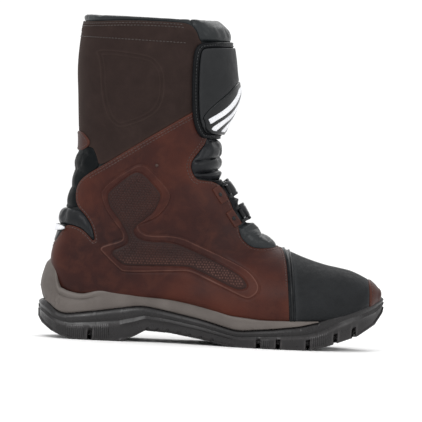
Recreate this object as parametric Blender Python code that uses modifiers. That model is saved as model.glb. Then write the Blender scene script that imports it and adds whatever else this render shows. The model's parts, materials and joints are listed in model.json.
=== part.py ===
"""Left adventure-touring riding boot, built as an assembly of separate pieces.

The boot stands on the ground plane with its toe along +X, its outer (lateral)
side along +Y and +Z up.  The origin is the middle of the heel tread.  Every
leather, textile and lining piece is a layer of one lofted last surface, cut to
its pattern outline in side view, so neighbouring pieces nest with a small gap.
Design values are in millimetres and are turned into metres by MM.
"""
import math

import bmesh
import bpy
import numpy as np
from mathutils import Matrix, Vector
from mathutils.bvhtree import BVHTree

MM = 0.001
GAP = 0.3

# ---------------------------------------------------------------- last surface
# Each row is one cross-section of the outer leather surface:
# rear or bottom point (x, z), front or top point (x, z), medial and lateral
# half width, where the widest place lies from rear (0) to front (1), bluntness
# of the rear and of the front half, and sideways shift towards the big toe.
LAST = (
    ((-35.5, 296.5), (78, 295.5), 54, 56, 0.48, 2.3, 2.3, 0),
    ((-40, 288), (91, 284), 57, 59, 0.48, 2.3, 2.3, 0),
    ((-42.5, 268), (94, 266), 58, 60, 0.48, 2.3, 2.3, 0),
    ((-43.5, 246), (95, 246), 58, 60, 0.48, 2.3, 2.3, 0),
    ((-42, 222), (95, 225), 55, 57, 0.48, 2.2, 2.2, 0),
    ((-40.5, 198), (88.5, 203), 51, 53, 0.47, 2.2, 2.1, 0),
    ((-39, 176), (85, 184), 47.5, 49.5, 0.46, 2.1, 2.1, 0),
    ((-41, 155), (84, 168), 45, 47, 0.45, 2.1, 2.0, 0),
    ((-44.5, 136), (87.5, 154), 43.5, 46, 0.44, 2.1, 2.0, 0),
    ((-49.5, 115), (98, 141.5), 42, 45, 0.43, 2.1, 2.0, 0),
    ((-55, 95), (106.5, 128.5), 40.5, 43.5, 0.42, 2.2, 2.0, 1),
    ((-59.5, 74), (113, 117.5), 38.5, 41.5, 0.40, 2.4, 2.0, 1.5),
    ((-56.5, 56), (117.5, 109), 37, 40, 0.39, 2.7, 2.0, 2),
    ((-47, 41.5), (122.5, 103.3), 36, 39, 0.38, 3.1, 2.0, 2),
    ((-24, 38), (129, 98), 36, 39, 0.36, 3.5, 2.0, 2),
    ((8, 39), (137, 94.5), 36.5, 40, 0.34, 3.7, 2.0, 2),
    ((42, 39.5), (146, 91), 38.5, 42, 0.33, 3.9, 2.05, 2),
    ((76, 34), (156, 87.3), 43.5, 46, 0.32, 4.0, 2.1, 2.5),
    ((106, 26), (167, 83), 49, 50, 0.32, 4.0, 2.2, 3),
    ((134, 22), (179, 79), 52, 52, 0.33, 4.0, 2.3, 4),
    ((160, 22), (191, 75.8), 51, 51, 0.34, 4.0, 2.4, 5),
    ((184, 24), (203, 73.6), 48, 48, 0.36, 3.8, 2.5, 5.5),
    ((205, 29), (214, 71.3), 43, 43, 0.38, 3.5, 2.5, 6.5),
    ((221, 35.5), (224.5, 67), 35, 34.5, 0.40, 3.1, 2.5, 7),
    ((232, 41), (233.5, 62), 25.5, 25, 0.44, 2.8, 2.4, 7.5),
    ((238.3, 45.5), (239, 56.5), 14, 13.5, 0.50, 2.4, 2.3, 8),
)
TOE_POINT = (241.3, -8, 50.5)
HALF_STEPS = 10
FINE_STEPS = 96
ROD_SIDES = 16

# ------------------------------------------------------- layers of the upper
LEATHER = (-2.0, 0.0)
STIFFENER = (-4.1, -2.3)
FOOT_LINING = (-7.4, -4.4)
SHAFT_LINING = (-7.4, -2.3)
COLLAR = (-7.4, 0.0)
HEEL_LABEL = (0.3, 1.2)
TOE_BEAD = (0.3, 1.8)
LOOP_TAPE = (0.3, 0.9)
HOOK_TAPE = (1.2, 1.7)
FLAP = (2.0, 3.9)
FLAP_PLATE = (4.2, 5.8)
FLAP_PIPING = (4.2, 6.2)
STRAP = (0.5, 3.3)
STRAP_PLATE = (0.5, 2.0)
OVERLAY = (0.3, 2.6)
BOARD_RISE = 3.0
BEAD_RISE = 7.0
SHANK_RISE = (2.5, 4.0)
SHANK_SPAN = (-18.0, 96.0)
SHANK_HALF_WIDTH = 8.0
FOOTBED_RISE = (8.0, 12.0)

# ------------------------------------------------------------ ankle movement
PIVOT = (15.0, 125.0)
FOOT_EDGE_ANGLES = (25.5, 15.0)
SHAFT_EDGE_ANGLES = (38.5, 23.0)
PIVOT_CLEARANCE = 0.5
FAR = 400.0

# ------------------------------------------------ pattern outlines, side view
CALF_SEAM = ((-19.4, 157), (7.2, 174.8), (24.9, 186.6), (62.2, 210.4), (70, 215))
REAR_EDGE = (
    (-30.1, 150.1), (-37.1, 142.5), (-39.4, 134.1), (-39, 125), (-35.9, 118.7), (-30.2, 113.5),
    (-24.3, 105.5), (-21.2, 97.4), (-19.8, 88.3), (-25.6, 94.5), (-31.3, 99.7), (-37, 102.2),
    (-44.4, 103.6), (-47.9, 101.6), (-51.3, 96), (-56.4, 87.5), (-64, 80),
)
QUARTER_FRONT = (
    (77.5, 200), (77.2, 185), (71.2, 176), (64.3, 166.6), (63.7, 160.1), (66.8, 152.9),
    (70.7, 149.5), (77.1, 148.9), (83, 146), (89, 139.5), (96, 128), (102.5, 117), (107, 108.5),
    (110, 101), (114.5, 95.7), (121.1, 90.5), (128.5, 89), (137.6, 89.5), (147.6, 90.9),
)
TOE_SEAM = ((148.5, 91.8), (152.4, 86.5), (155.7, 74.8), (157.8, 52), (159.9, 27.4), (160.5, 0))
TIP_SEAM = ((229.5, 64.6), (230.9, 55.5), (231.2, 47.3), (231.2, 0))
TOE_AREA = TOE_SEAM + ((300, 0), (300, 130), (147, 130))
TIP_AREA = TIP_SEAM + ((300, 0), (300, 100), (228, 100))
QUARTER = (
    ((77.5, 215),) + tuple(reversed(CALF_SEAM)) + REAR_EDGE + ((-90, 80), (-90, 0), (190, 0))
    + tuple(reversed(TOE_AREA))[:1] + tuple(reversed(QUARTER_FRONT))
)
CALF = CALF_SEAM + (
    (70, 272), (66.3, 278.4), (63.2, 285.5), (56.5, 291.6), (38.2, 292.1), (1.6, 291.7),
    (-38.6, 288.9), (-90, 288.5), (-90, 165), (-28.7, 178.6), (-21.8, 167),
)
BACK_STAY = (
    (-90, 189), (-40.2, 189), (-35.6, 188.3), (-30.8, 184), (-27.8, 178.6), (-31.2, 173.9),
    (-36.6, 170.9), (-90, 171),
)
ACHILLES = (
    (-90, 190), (-28.7, 178.6), (-21.8, 167), (-19.4, 157), (-30.1, 150.1), (-37.1, 142.5),
    (-39.4, 134.1), (-39, 125), (-35.9, 118.7), (-90, 118.7),
)
HEEL_PAD = (
    (-90, 118.4), (-35.7, 118.4), (-30.2, 113.5), (-24.3, 105.5), (-21.2, 97.4), (-19.8, 88.3),
    (-25.6, 94.5), (-31.3, 99.7), (-37, 102.2), (-44.4, 103.6), (-90, 104),
)
HEEL_BAND = (
    (-90, 103.7), (-44.4, 103.3), (-47.9, 101.6), (-51.3, 96), (-56.4, 87.5), (-64, 80), (-90, 80),
)
HEEL_TAB = ((-90, 101.5), (-49.5, 101.5), (-51.5, 95.5), (-90, 95.5))
COLLAR_AREA = (
    (-90, 288.6), (-38.6, 288.9), (1.6, 291.7), (38.2, 292.1), (56.5, 291.6), (63.2, 285.5),
    (66.3, 278.4), (66, 274.5), (130, 274.5), (130, 320), (-90, 320),
)
SHIN_GUSSET = ((70, 215), (70, 274.2), (130, 274.2), (130, 187), (77.5, 187), (77.5, 215))
FRONT_BELLOWS = ((55, 150.3), (120, 150.3), (120, 186.7), (55, 186.7))
BELOW_BELLOWS = ((55, -20), (300, -20), (300, 150), (55, 150))
TONGUE_AREA = QUARTER_FRONT + ((148, 130), (130, 187), (77.5, 200))
FLAP_MEDIAL = (
    (130, 276.3), (84.7, 275.6), (71.1, 274.5), (65.6, 272.8), (62.2, 268.1), (60.9, 258),
    (60.8, 239.6), (62.2, 210.4), (64.6, 198.6), (68.7, 190.6), (73.4, 187.1), (130, 187.1),
)
FLAP_LATERAL = (
    (130, 276.3), (84.7, 275.6), (40, 273.5), (33, 270), (29.5, 262), (29, 240), (32, 219),
    (40, 206), (55, 195), (73.4, 187.1), (130, 187.1),
)
BEHIND_FLAP_MEDIAL = (
    ((-150, 100), (-150, 400), (130, 400), (130, 276.6)) + FLAP_MEDIAL[1:-1] + ((130, 186.8), (130, 100))
)
PIPING_INNER_LATERAL = (
    (130, 271.5), (85, 270.8), (42, 269), (37, 266), (34.5, 260), (34, 240), (37, 221), (44, 210),
    (58, 199), (76, 191.6), (130, 191.6),
)
PIPING_INNER_MEDIAL = (
    (130, 271.5), (85, 270.8), (72.2, 270), (67.6, 268), (66, 262), (65.6, 240), (66.6, 211),
    (69, 201), (72.6, 195), (77, 191.6), (130, 191.6),
)
PLATE_AREA = (
    (119, 271.2), (97.8, 270.6), (73, 269.6), (68, 267.6), (66.4, 262), (66.2, 240), (67.6, 211),
)
CLOSURE_STRIP = ((34, 258), (46, 258), (46, 220), (37, 220))
BADGE_AREA = ((130, 278.5), (99, 243.5), (69.1, 209.8), (72.6, 203.6), (73, 196.3), (78.7, 192), (130, 192))
TONGUE_PAD = (
    (117.5, 113), (117.5, 97), (120, 93), (127, 90.5), (137, 91), (150, 92), (150, 130), (117.5, 130),
)
COUNTER_AREA = ((-90, 47), (-90, 92), (-45, 92), (-22, 84), (0, 70), (16, 56), (16, 47))
TOE_PUFF_AREA = ((205, 40), (205, 90), (260, 90), (260, 46))
ANKLE_CUP = (
    (-18, 118), (-12, 104), (4, 96), (26, 96), (42, 110), (46, 124), (38, 151.3), (-15, 152.1),
)

# --------------------------------------------------------------- sole outlines
SOLE_PLAN = (
    (-70, 0), (-66, -18), (-52, -33), (-25, -39.5), (10, -38.5), (45, -37.5), (80, -44),
    (115, -55), (145, -59.5), (175, -57), (205, -48), (228, -34), (241, -18), (245.7, -6),
    (241, 6), (228, 19), (205, 34), (175, 46.5), (145, 52), (115, 52.5), (80, 48.5), (45, 45),
    (10, 42), (-25, 40.5), (-52, 33), (-66, 18),
)
MIDSOLE_INSET = 1.0
MIDSOLE_TOP = (
    (-60.3, 72.7), (-57, 61.8), (-54.6, 50.9), (-52.6, 46.5), (-43.3, 43.3), (-32.2, 41.5),
    (-24.9, 42.3), (-16.9, 45.9), (-11.4, 47.1), (31.7, 46.4), (59.2, 44.5), (77.8, 38.1),
    (104, 28.3), (133.4, 25.6), (179.1, 26.5), (186.4, 27),
)
MIDSOLE_BOTTOM = (
    (-68, 34.9), (-59.1, 29.7), (-53.4, 24.5), (-44.1, 23.1), (-13.2, 27.3), (18.6, 32.5),
    (27.7, 32.9), (36.9, 31.5), (78.5, 23.5), (108.2, 15.7), (115.6, 15.2), (147.5, 18.5),
    (170.2, 21.6), (186.4, 25),
)
MIDSOLE_BACK = ((-66, 39.4), (-68.2, 46.6), (-67.7, 54.9), (-64.6, 67))
OUTSOLE_BOTTOM = (
    (-68, 31), (-69.9, 24.6), (-69.6, 18.2), (-65.6, 12.9), (-57.1, 6.9), (-47, 2.5), (-38, 0),
    (5, 0), (19, 5), (28.7, 10.5), (51.7, 9.4), (79.4, 5.2), (103, 1.2), (112, 0), (176, 0),
    (196.6, 5), (221.8, 14), (237.8, 24.7), (244.7, 35.1), (245.7, 42.5), (243, 50.6),
)
TOE_BUMPER_TOP = (
    (241.3, 48.3), (233.1, 46.5), (224.1, 44.2), (215, 41.9), (206.1, 37.8), (200.7, 34.8),
    (193.6, 29.9), (187.5, 27.3),
)
GROOVE_PLACES = (-24, 127, 145, 172, 197, 214)
GROOVE_HALF_WIDTHS = (4.0, 1.0)
GROOVE_DEPTH = 4.5
SOLE_LAYER_SPAN = (-20.0, 120.0)
FOOTBED_PLAN = (
    (-44, 0), (-38, -16), (-20, -23), (10, -24), (45, -24), (80, -30), (115, -37), (145, -41),
    (175, -38), (200, -28), (212, -14), (212, 0), (200, 13), (175, 25), (145, 33), (115, 35),
    (80, 33), (45, 29), (10, 27), (-20, 24), (-38, 16),
)

# ------------------------------------------------------ instep straps, buckles
STRAP_DIRECTION = (-0.82, -0.572)
STRAP_HALF_WIDTH = 8.0
STRAPS = (
    ("upper", (99.5, 142.3), 49.0),
    ("lower", (113.0, 121.3), 45.0),
)
ANCHOR_BACK = 4.0
STRAP_WRAP = 30.0
PIN_RADIUS = 1.4
PIN_HEIGHT = 3.6
KNUCKLE_RADIUS = 2.8
KNUCKLE_HALF = 4.4
KNUCKLE_SIDE_GAP = 0.4
EAR_OUTER = 7.8
EAR_FOOT = (0.5, 6.5)
EAR_SIDE_GAP = 0.5
ANCHOR_LENGTH = 10.0
ANCHOR_START = 3.3
STRAP_STOP = 1.0
STRAP_NECK = 5.5
STRAP_END = 6.0
CATCH_SPAN = (8.0, 31.0)
CATCH_HALF_WIDTH = 6.5
LEVER_PIN_HEIGHT = 9.2
LEVER_LENGTH = 33.0
LEVER_HALF_WIDTH = 5.4
FRAME_SPAN = (-12.0, 4.5)
FRAME_HALF_WIDTH = 7.6
FRAME_INNER = 5.8
FRAME_HEIGHTS = (4.9, 11.6)
FRAME_FLOOR = 6.3
LEVER_HEIGHTS = (7.9, 10.4)
CLEAR = 20.0

# Reach of a side cutter along Y.  The two overlapping halves cut pieces that
# wrap round the front of the boot and have a different edge on each side.
SIDES = {
    "both": (-150.0, 150.0),
    "medial": (-150.0, -GAP / 2),
    "lateral": (GAP / 2, 150.0),
    "medial half": (-150.0, 0.0),
    "lateral half": (-2.0, 150.0),
}


def start_scene():
    """Empty the file and make the two collections."""
    for item in list(bpy.data.objects):
        bpy.data.objects.remove(item, do_unlink=True)
    made = []
    for name in ("riding_boot", "cutters"):
        group = bpy.data.collections.new(name)
        bpy.context.scene.collection.children.link(group)
        made.append(group)
    return made


PARTS, CUTTERS = start_scene()


def material(name, color, roughness, metallic=0.0):
    made = bpy.data.materials.new(name)
    made.use_nodes = True
    shader = made.node_tree.nodes["Principled BSDF"]
    shader.inputs["Base Color"].default_value = (*color, 1.0)
    shader.inputs["Roughness"].default_value = roughness
    shader.inputs["Metallic"].default_value = metallic
    return made


OILED_LEATHER = material("oiled_leather", (0.075, 0.026, 0.019), 0.5)
SUEDE = material("suede", (0.038, 0.026, 0.021), 0.9)
BLACK_FABRIC = material("black_fabric", (0.012, 0.014, 0.015), 0.7)
BLACK_GRIP = material("black_grip", (0.026, 0.030, 0.032), 0.6)
BLACK_PLASTIC = material("black_plastic", (0.012, 0.014, 0.016), 0.35)
WHITE_TAB = material("white_tab", (0.80, 0.80, 0.80), 0.4)
LINING_MESH = material("lining_mesh", (0.020, 0.020, 0.022), 0.85)
BOARD = material("board", (0.28, 0.22, 0.16), 0.9)
GREY_FOAM = material("grey_foam", (0.145, 0.125, 0.115), 0.6)
TREAD_RUBBER = material("tread_rubber", (0.022, 0.022, 0.024), 0.5)
STEEL = material("steel", (0.55, 0.55, 0.56), 0.35, 1.0)


# ------------------------------------------------------------------ small maths
def spline(points, steps, closed=False):
    """Catmull-Rom curve through the points, with steps pieces per span."""
    table = np.array(points, dtype=float)
    count = len(table)
    spans = count if closed else count - 1
    places = []
    for span in range(spans):
        ids = [span - 1, span, span + 1, span + 2]
        if closed:
            a, b, c, d = (table[i % count] for i in ids)
        else:
            a, b, c, d = (table[min(max(i, 0), count - 1)] for i in ids)
        for step in range(steps):
            t = step / steps
            places.append(0.5 * (2 * b + (c - a) * t + (2 * a - 5 * b + 4 * c - d) * t ** 2
                                 + (3 * b - 3 * c + d - a) * t ** 3))
    if not closed:
        places.append(table[-1])
    return [tuple(place) for place in places]


def grown(outline, distance):
    """The outline with each corner moved outward by about the distance."""
    corners = np.array(outline, dtype=float)
    before = corners - np.roll(corners, 1, axis=0)
    after = np.roll(corners, -1, axis=0) - corners
    x, y = corners.T
    area = np.sum(x * np.roll(y, -1) - y * np.roll(x, -1))
    turn = 1.0 if area > 0 else -1.0
    moved = []
    for corner, into, out in zip(corners, before, after):
        normals = [turn * np.array((edge[1], -edge[0])) / np.linalg.norm(edge) for edge in (into, out)]
        middle = normals[0] + normals[1]
        size = np.linalg.norm(middle)
        if size < 0.5:
            moved.append(tuple(corner + distance * normals[0]))
            continue
        middle = middle / size
        moved.append(tuple(corner + distance * middle / max(middle @ normals[0], 0.5)))
    return moved


def sole_line(x):
    """Height of the bottom of the last above the ground at x."""
    rows = [row[0] for row in LAST[13:]]
    return float(np.interp(x, [place[0] for place in rows], [place[1] for place in rows]))


def flex_outline(angles, above):
    """Everything above (or below) the bent line through the ankle pivot."""
    shift = PIVOT_CLEARANCE if above else -PIVOT_CLEARANCE
    front, rear = (math.tan(math.radians(angle)) * FAR for angle in angles)
    x, z = PIVOT
    end = 3 * FAR if above else -FAR
    return (
        (x - FAR, z + shift + rear), (x, z + shift), (x + FAR, z + shift + front), (x + FAR, end),
        (x - FAR, end),
    )


BELOW_FLEX = flex_outline(FOOT_EDGE_ANGLES, above=False)
ABOVE_FLEX = flex_outline(SHAFT_EDGE_ANGLES, above=True)


# ----------------------------------------------------------------- last surface
def section_half(row, width, side):
    """Evenly spaced points of one half section, from rear to front."""
    (rear_x, rear_z), (front_x, front_z), _, _, widest, rear_blunt, front_blunt, shift = row
    skew = math.log(0.5) / math.log(widest)
    line = []
    for step in range(FINE_STEPS + 1):
        angle = math.pi * step / FINE_STEPS
        along = math.cos(angle)
        power = 2.0 / (rear_blunt if along > 0 else front_blunt)
        place = (1 - math.copysign(abs(along) ** power, along)) / 2
        place = place ** (1 / skew)
        across = side * width * math.sin(angle) ** power - shift
        line.append((rear_x + (front_x - rear_x) * place, across, rear_z + (front_z - rear_z) * place))
    line = np.array(line)
    travelled = np.concatenate(([0], np.cumsum(np.linalg.norm(np.diff(line, axis=0), axis=1))))
    marks = np.linspace(0, travelled[-1], HALF_STEPS + 1)
    return [tuple(np.interp(mark, travelled, line[:, axis]) for axis in range(3)) for mark in marks]


def last_mesh():
    """The outer leather surface, open at the collar and closed at the toe."""
    shape = bmesh.new()
    rings = []
    for row in LAST:
        lateral = section_half(row, row[3], 1)
        medial = section_half(row, row[2], -1)
        points = lateral + medial[-2:0:-1]
        rings.append([shape.verts.new(Vector(point) * MM) for point in points])
    for low, high in zip(rings, rings[1:]):
        for index in range(len(low)):
            after = (index + 1) % len(low)
            shape.faces.new((low[index], low[after], high[after], high[index]))
    tip = shape.verts.new(Vector(TOE_POINT) * MM)
    for index in range(len(rings[-1])):
        shape.faces.new((rings[-1][index], rings[-1][(index + 1) % len(rings[-1])], tip))
    bmesh.ops.triangulate(shape, faces=shape.faces)
    bmesh.ops.recalc_face_normals(shape, faces=shape.faces)
    rearmost = min(shape.faces, key=lambda face: face.calc_center_median().x)
    if rearmost.normal.x > 0:
        bmesh.ops.reverse_faces(shape, faces=shape.faces)
    made = bpy.data.meshes.new("last_surface")
    shape.to_mesh(made)
    shape.free()
    return made


LAST_MESH = last_mesh()
SKIN_TREE = BVHTree.FromPolygons([vert.co.copy() for vert in LAST_MESH.vertices],
                                 [tuple(face.vertices) for face in LAST_MESH.polygons])


def on_skin(x, z, side):
    """Point and outward normal of the leather surface seen from one side, in mm."""
    start = Vector((x, 200 * side, z)) * MM
    place, normal, _, _ = SKIN_TREE.ray_cast(start, Vector((0, -side, 0)))
    return place / MM, normal


# -------------------------------------------------------------- modelling tools
def add_object(name, mesh, group=PARTS, finish=None):
    made = bpy.data.objects.new(name, mesh)
    group.objects.link(made)
    if finish:
        mesh.materials.clear()
        mesh.materials.append(finish)
    if group is CUTTERS:
        made.hide_render = True
        made.display_type = "WIRE"
    return made


def flat_solid(name, outline, low, high, plane):
    """Extrude an outline: plane XZ runs along Y, plane XY runs along Z."""
    data = bpy.data.curves.new(name, "CURVE")
    data.dimensions = "2D"
    data.fill_mode = "BOTH"
    data.extrude = (high - low) / 2 * MM
    line = data.splines.new("POLY")
    line.points.add(len(outline) - 1)
    for point, (first, second) in zip(line.points, outline):
        point.co = (first * MM, second * MM, 0, 1)
    line.use_cyclic_u = True
    guide = bpy.data.objects.new(name, data)
    CUTTERS.objects.link(guide)
    middle = (low + high) / 2 * MM
    if plane == "XZ":
        guide.rotation_euler.x = math.pi / 2
        guide.location.y = middle
    else:
        guide.location.z = middle
    bpy.context.view_layer.update()
    depsgraph = bpy.context.evaluated_depsgraph_get()
    mesh = bpy.data.meshes.new_from_object(guide.evaluated_get(depsgraph))
    mesh.transform(guide.matrix_world)
    bpy.data.objects.remove(guide, do_unlink=True)
    shape = bmesh.new()
    shape.from_mesh(mesh)
    bmesh.ops.remove_doubles(shape, verts=shape.verts, dist=0.00001)
    bmesh.ops.recalc_face_normals(shape, faces=shape.faces)
    shape.to_mesh(mesh)
    shape.free()
    return mesh


def side_cutter(outline, side="both"):
    low, high = SIDES[side]
    return add_object("cutter", flat_solid("cutter", outline, low, high, "XZ"), CUTTERS)


def cut(piece, cutter, operation):
    """Boolean of a piece with a cutter.

    The exact solver gave empty meshes on these closely nested curved shells,
    so the manifold solver is used throughout; every piece is a closed solid.
    """
    modifier = piece.modifiers.new(operation.lower(), "BOOLEAN")
    modifier.object = cutter
    modifier.operation = operation
    modifier.solver = "MANIFOLD"
    return piece


def layer(name, finish, span, group=PARTS):
    """A shell between two distances from the leather surface."""
    inner, outer = span
    piece = add_object(name, LAST_MESH.copy(), group, finish)
    solid = piece.modifiers.new("thickness", "SOLIDIFY")
    solid.thickness = (outer - inner) * MM
    solid.offset = 2 * outer / (outer - inner) - 1
    return piece


def panel(name, finish, span, inside, side="both", outside=()):
    """A layer kept inside every outline of one list and out of the other."""
    piece = layer(name, finish, span)
    for outline in inside:
        cut(piece, side_cutter(outline, side), "INTERSECT")
    for outline, where in outside:
        cut(piece, side_cutter(grown(outline, GAP), where), "DIFFERENCE")
    return piece


def settle(piece):
    """Apply the modifiers and keep the largest body."""
    bpy.context.view_layer.update()
    depsgraph = bpy.context.evaluated_depsgraph_get()
    mesh = bpy.data.meshes.new_from_object(piece.evaluated_get(depsgraph))
    piece.modifiers.clear()
    shape = bmesh.new()
    shape.from_mesh(mesh)
    bmesh.ops.remove_doubles(shape, verts=shape.verts, dist=0.00002)
    shape.verts.ensure_lookup_table()
    unseen = set(shape.verts)
    bodies = []
    while unseen:
        stack = [unseen.pop()]
        body = set(stack)
        while stack:
            for edge in stack.pop().link_edges:
                for vert in edge.verts:
                    if vert in unseen:
                        unseen.discard(vert)
                        body.add(vert)
                        stack.append(vert)
        bodies.append(body)
    largest = max(bodies, key=len)
    spare = [vert for vert in shape.verts if vert not in largest]
    bmesh.ops.delete(shape, geom=spare, context="VERTS")
    shape.to_mesh(mesh)
    shape.free()
    piece.data = mesh
    return piece


def upper_volume(distance):
    """Everything inside the leather surface moved outward by the distance."""
    shape = bmesh.new()
    shape.from_mesh(LAST_MESH)
    shape.normal_update()
    normals = {vert: vert.normal.copy() for vert in shape.verts}
    for vert, normal in normals.items():
        vert.co += normal * distance * MM
    rim = [edge for edge in shape.edges if edge.is_boundary]
    bmesh.ops.contextual_create(shape, geom=rim)
    bmesh.ops.recalc_face_normals(shape, faces=shape.faces)
    mesh = bpy.data.meshes.new("upper_volume")
    shape.to_mesh(mesh)
    shape.free()
    return add_object("upper_volume", mesh, CUTTERS)


# ----------------------------------------------------- small parts on the skin
class Seat:
    """A local frame on the leather: along the strap, across it, outward."""

    def __init__(self, x, z, side):
        place, normal = on_skin(x, z, side)
        across = Vector((-STRAP_DIRECTION[1], 0, STRAP_DIRECTION[0])).normalized()
        across -= normal * across.dot(normal)
        across.normalize()
        along = across.cross(normal).normalized()
        if along.x > 0:
            along = -along
        self.place, self.along, self.across, self.out = place, along, across, normal

    def point(self, along, across, out):
        return self.place + self.along * along + self.across * across + self.out * out

    def matrix(self, along, across, out):
        turn = Matrix((self.along, self.across, self.out)).transposed()
        if turn.determinant() < 0:
            turn = Matrix((-self.along, self.across, self.out)).transposed()
        return Matrix.Translation(self.point(along, across, out) * MM) @ turn.to_4x4()


def seat_box(seat, along, across, out, name="block", group=CUTTERS, finish=None):
    """A box given by its spans along the three directions of a seat."""
    shape = bmesh.new()
    bmesh.ops.create_cube(shape, size=1.0)
    spans = [(high - low) * MM for low, high in (along, across, out)]
    bmesh.ops.scale(shape, vec=spans, verts=shape.verts)
    middle = [(low + high) / 2 for low, high in (along, across, out)]
    bmesh.ops.transform(shape, matrix=seat.matrix(*middle), verts=shape.verts)
    mesh = bpy.data.meshes.new(name)
    shape.to_mesh(mesh)
    shape.free()
    return add_object(name, mesh, group, finish)


def seat_rod(seat, radius, along, across, out, name="rod", group=CUTTERS, finish=None):
    """A round rod lying across a seat, between two places across it."""
    shape = bmesh.new()
    bmesh.ops.create_cone(shape, cap_ends=True, segments=ROD_SIDES, radius1=radius * MM,
                          radius2=radius * MM, depth=(across[1] - across[0]) * MM)
    lie = Matrix.Rotation(math.pi / 2, 4, "X")
    place = seat.matrix(along, (across[0] + across[1]) / 2, out)
    bmesh.ops.transform(shape, matrix=place @ lie, verts=shape.verts)
    mesh = bpy.data.meshes.new(name)
    shape.to_mesh(mesh)
    shape.free()
    return add_object(name, mesh, group, finish)


# ------------------------------------------------------------------- sole unit
def bottom_band(low, high, start, end, steps=14):
    """Outline of a strip that follows the bottom of the last."""
    stations = [row[0][0] for row in LAST[13:] if start < row[0][0] < end]
    places = np.unique(np.concatenate((np.linspace(start, end, steps), stations)))
    under = [(x, sole_line(x) + low) for x in places]
    over = [(x, sole_line(x) + high) for x in places]
    return under + over[::-1]


BOARD_BAND = bottom_band(-20, BOARD_RISE, -70, 236)
BEAD_BAND = bottom_band(-20, BEAD_RISE, -70, 236)


def sole_solid(name, finish, plan, profile, room):
    """A sole layer: plan outline and side profile, hollowed for the upper."""
    piece = add_object(name, flat_solid(name, plan, *SOLE_LAYER_SPAN, "XY"), PARTS, finish)
    cut(piece, side_cutter(profile), "INTERSECT")
    cut(piece, room, "DIFFERENCE")
    return piece


def make_sole():
    room = upper_volume(GAP)
    plan = spline(SOLE_PLAN, 3, closed=True)
    bottom = list(MIDSOLE_BOTTOM)
    outsole_top = [(x, z - GAP) for x, z in bottom[1:]]
    outsole = sole_solid("outsole", TREAD_RUBBER, plan,
                         list(OUTSOLE_BOTTOM) + list(TOE_BUMPER_TOP) + outsole_top[::-1], room)
    tread_x, tread_z = np.array(OUTSOLE_BOTTOM[4:19]).T
    wide, narrow = GROOVE_HALF_WIDTHS
    for place in GROOVE_PLACES:
        floor = float(np.interp(place, tread_x, tread_z))
        notch = (
            (place - wide, floor - 8), (place + wide, floor - 8), (place + narrow, floor + GROOVE_DEPTH),
            (place - narrow, floor + GROOVE_DEPTH),
        )
        cut(outsole, side_cutter(notch), "DIFFERENCE")
    settle(outsole)
    inset = grown(plan, -MIDSOLE_INSET)
    midsole = sole_solid("midsole", GREY_FOAM, inset,
                         list(MIDSOLE_TOP) + bottom[::-1] + list(MIDSOLE_BACK), room)
    settle(midsole)


def make_inner_sole():
    settle(panel("lasting_board", BOARD, LEATHER, [BOARD_BAND]))
    shank = flat_solid("shank", bottom_band(*SHANK_RISE, *SHANK_SPAN, 2), -SHANK_HALF_WIDTH,
                       SHANK_HALF_WIDTH, "XZ")
    add_object("steel_shank", shank, PARTS, STEEL)
    plan = spline(FOOTBED_PLAN, 2, closed=True)
    footbed = add_object("footbed", flat_solid("footbed", plan, 0, 100, "XY"), PARTS, BLACK_FABRIC)
    cut(footbed, side_cutter(bottom_band(*FOOTBED_RISE, -60, 225)), "INTERSECT")
    cut(footbed, upper_volume(FOOT_LINING[0] - 2 * GAP), "INTERSECT")
    settle(footbed)


# ------------------------------------------------------------------------ upper
def make_foot_upper():
    board = (BOARD_BAND, "both")
    for side in ("medial", "lateral"):
        settle(panel(f"{side}_quarter", OILED_LEATHER, LEATHER, [BELOW_FLEX, QUARTER], side,
                     [board, (TOE_AREA, "both")]))
        settle(panel(f"{side}_ankle_cup", BLACK_PLASTIC, STIFFENER, [BELOW_FLEX, ANKLE_CUP], side))
    settle(panel("toe_guard", BLACK_GRIP, LEATHER, [TOE_AREA], "both", [board, (TIP_AREA, "both")]))
    settle(panel("toe_tip", OILED_LEATHER, LEATHER, [TIP_AREA], "both", [board]))
    settle(panel("tongue", BLACK_FABRIC, LEATHER, [TONGUE_AREA, BELOW_BELLOWS], "both",
                 [(QUARTER, "both"), (TOE_AREA, "both")]))
    settle(panel("tongue_pad", BLACK_FABRIC, OVERLAY, [TONGUE_PAD], "both", [(TOE_AREA, "both")]))
    settle(panel("heel_pad", BLACK_PLASTIC, LEATHER, [HEEL_PAD], "both",
                 [(QUARTER, "both"), (HEEL_BAND, "both")]))
    settle(panel("heel_band", BLACK_FABRIC, LEATHER, [HEEL_BAND], "both", [(QUARTER, "both")]))
    settle(panel("heel_tab", WHITE_TAB, HEEL_LABEL, [HEEL_TAB]))
    settle(panel("heel_counter", BLACK_PLASTIC, STIFFENER, [COUNTER_AREA]))
    settle(panel("toe_puff", BLACK_PLASTIC, STIFFENER, [TOE_PUFF_AREA]))
    settle(panel("foot_lining", LINING_MESH, FOOT_LINING, [BELOW_FLEX]))


def make_toe_piping():
    """A raised bead over the seam between the quarters and the toe guard."""
    line = spline(TOE_SEAM[:5], 2)
    ahead = [(x + 2.2, z) for x, z in line]
    behind = [(x - 0.4, z) for x, z in line]
    band = ahead + behind[::-1]
    settle(panel("toe_piping", BLACK_PLASTIC, TOE_BEAD, [band], "both", [(BEAD_BAND, "both")]))


def make_bellows():
    settle(panel("front_bellows", BLACK_FABRIC, LEATHER, [TONGUE_AREA, FRONT_BELLOWS], "both",
                 [(QUARTER, "both")]))
    settle(panel("achilles_bellows", BLACK_FABRIC, LEATHER, [ACHILLES], "both",
                 [(BACK_STAY, "both"), (CALF, "both")]))


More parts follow.
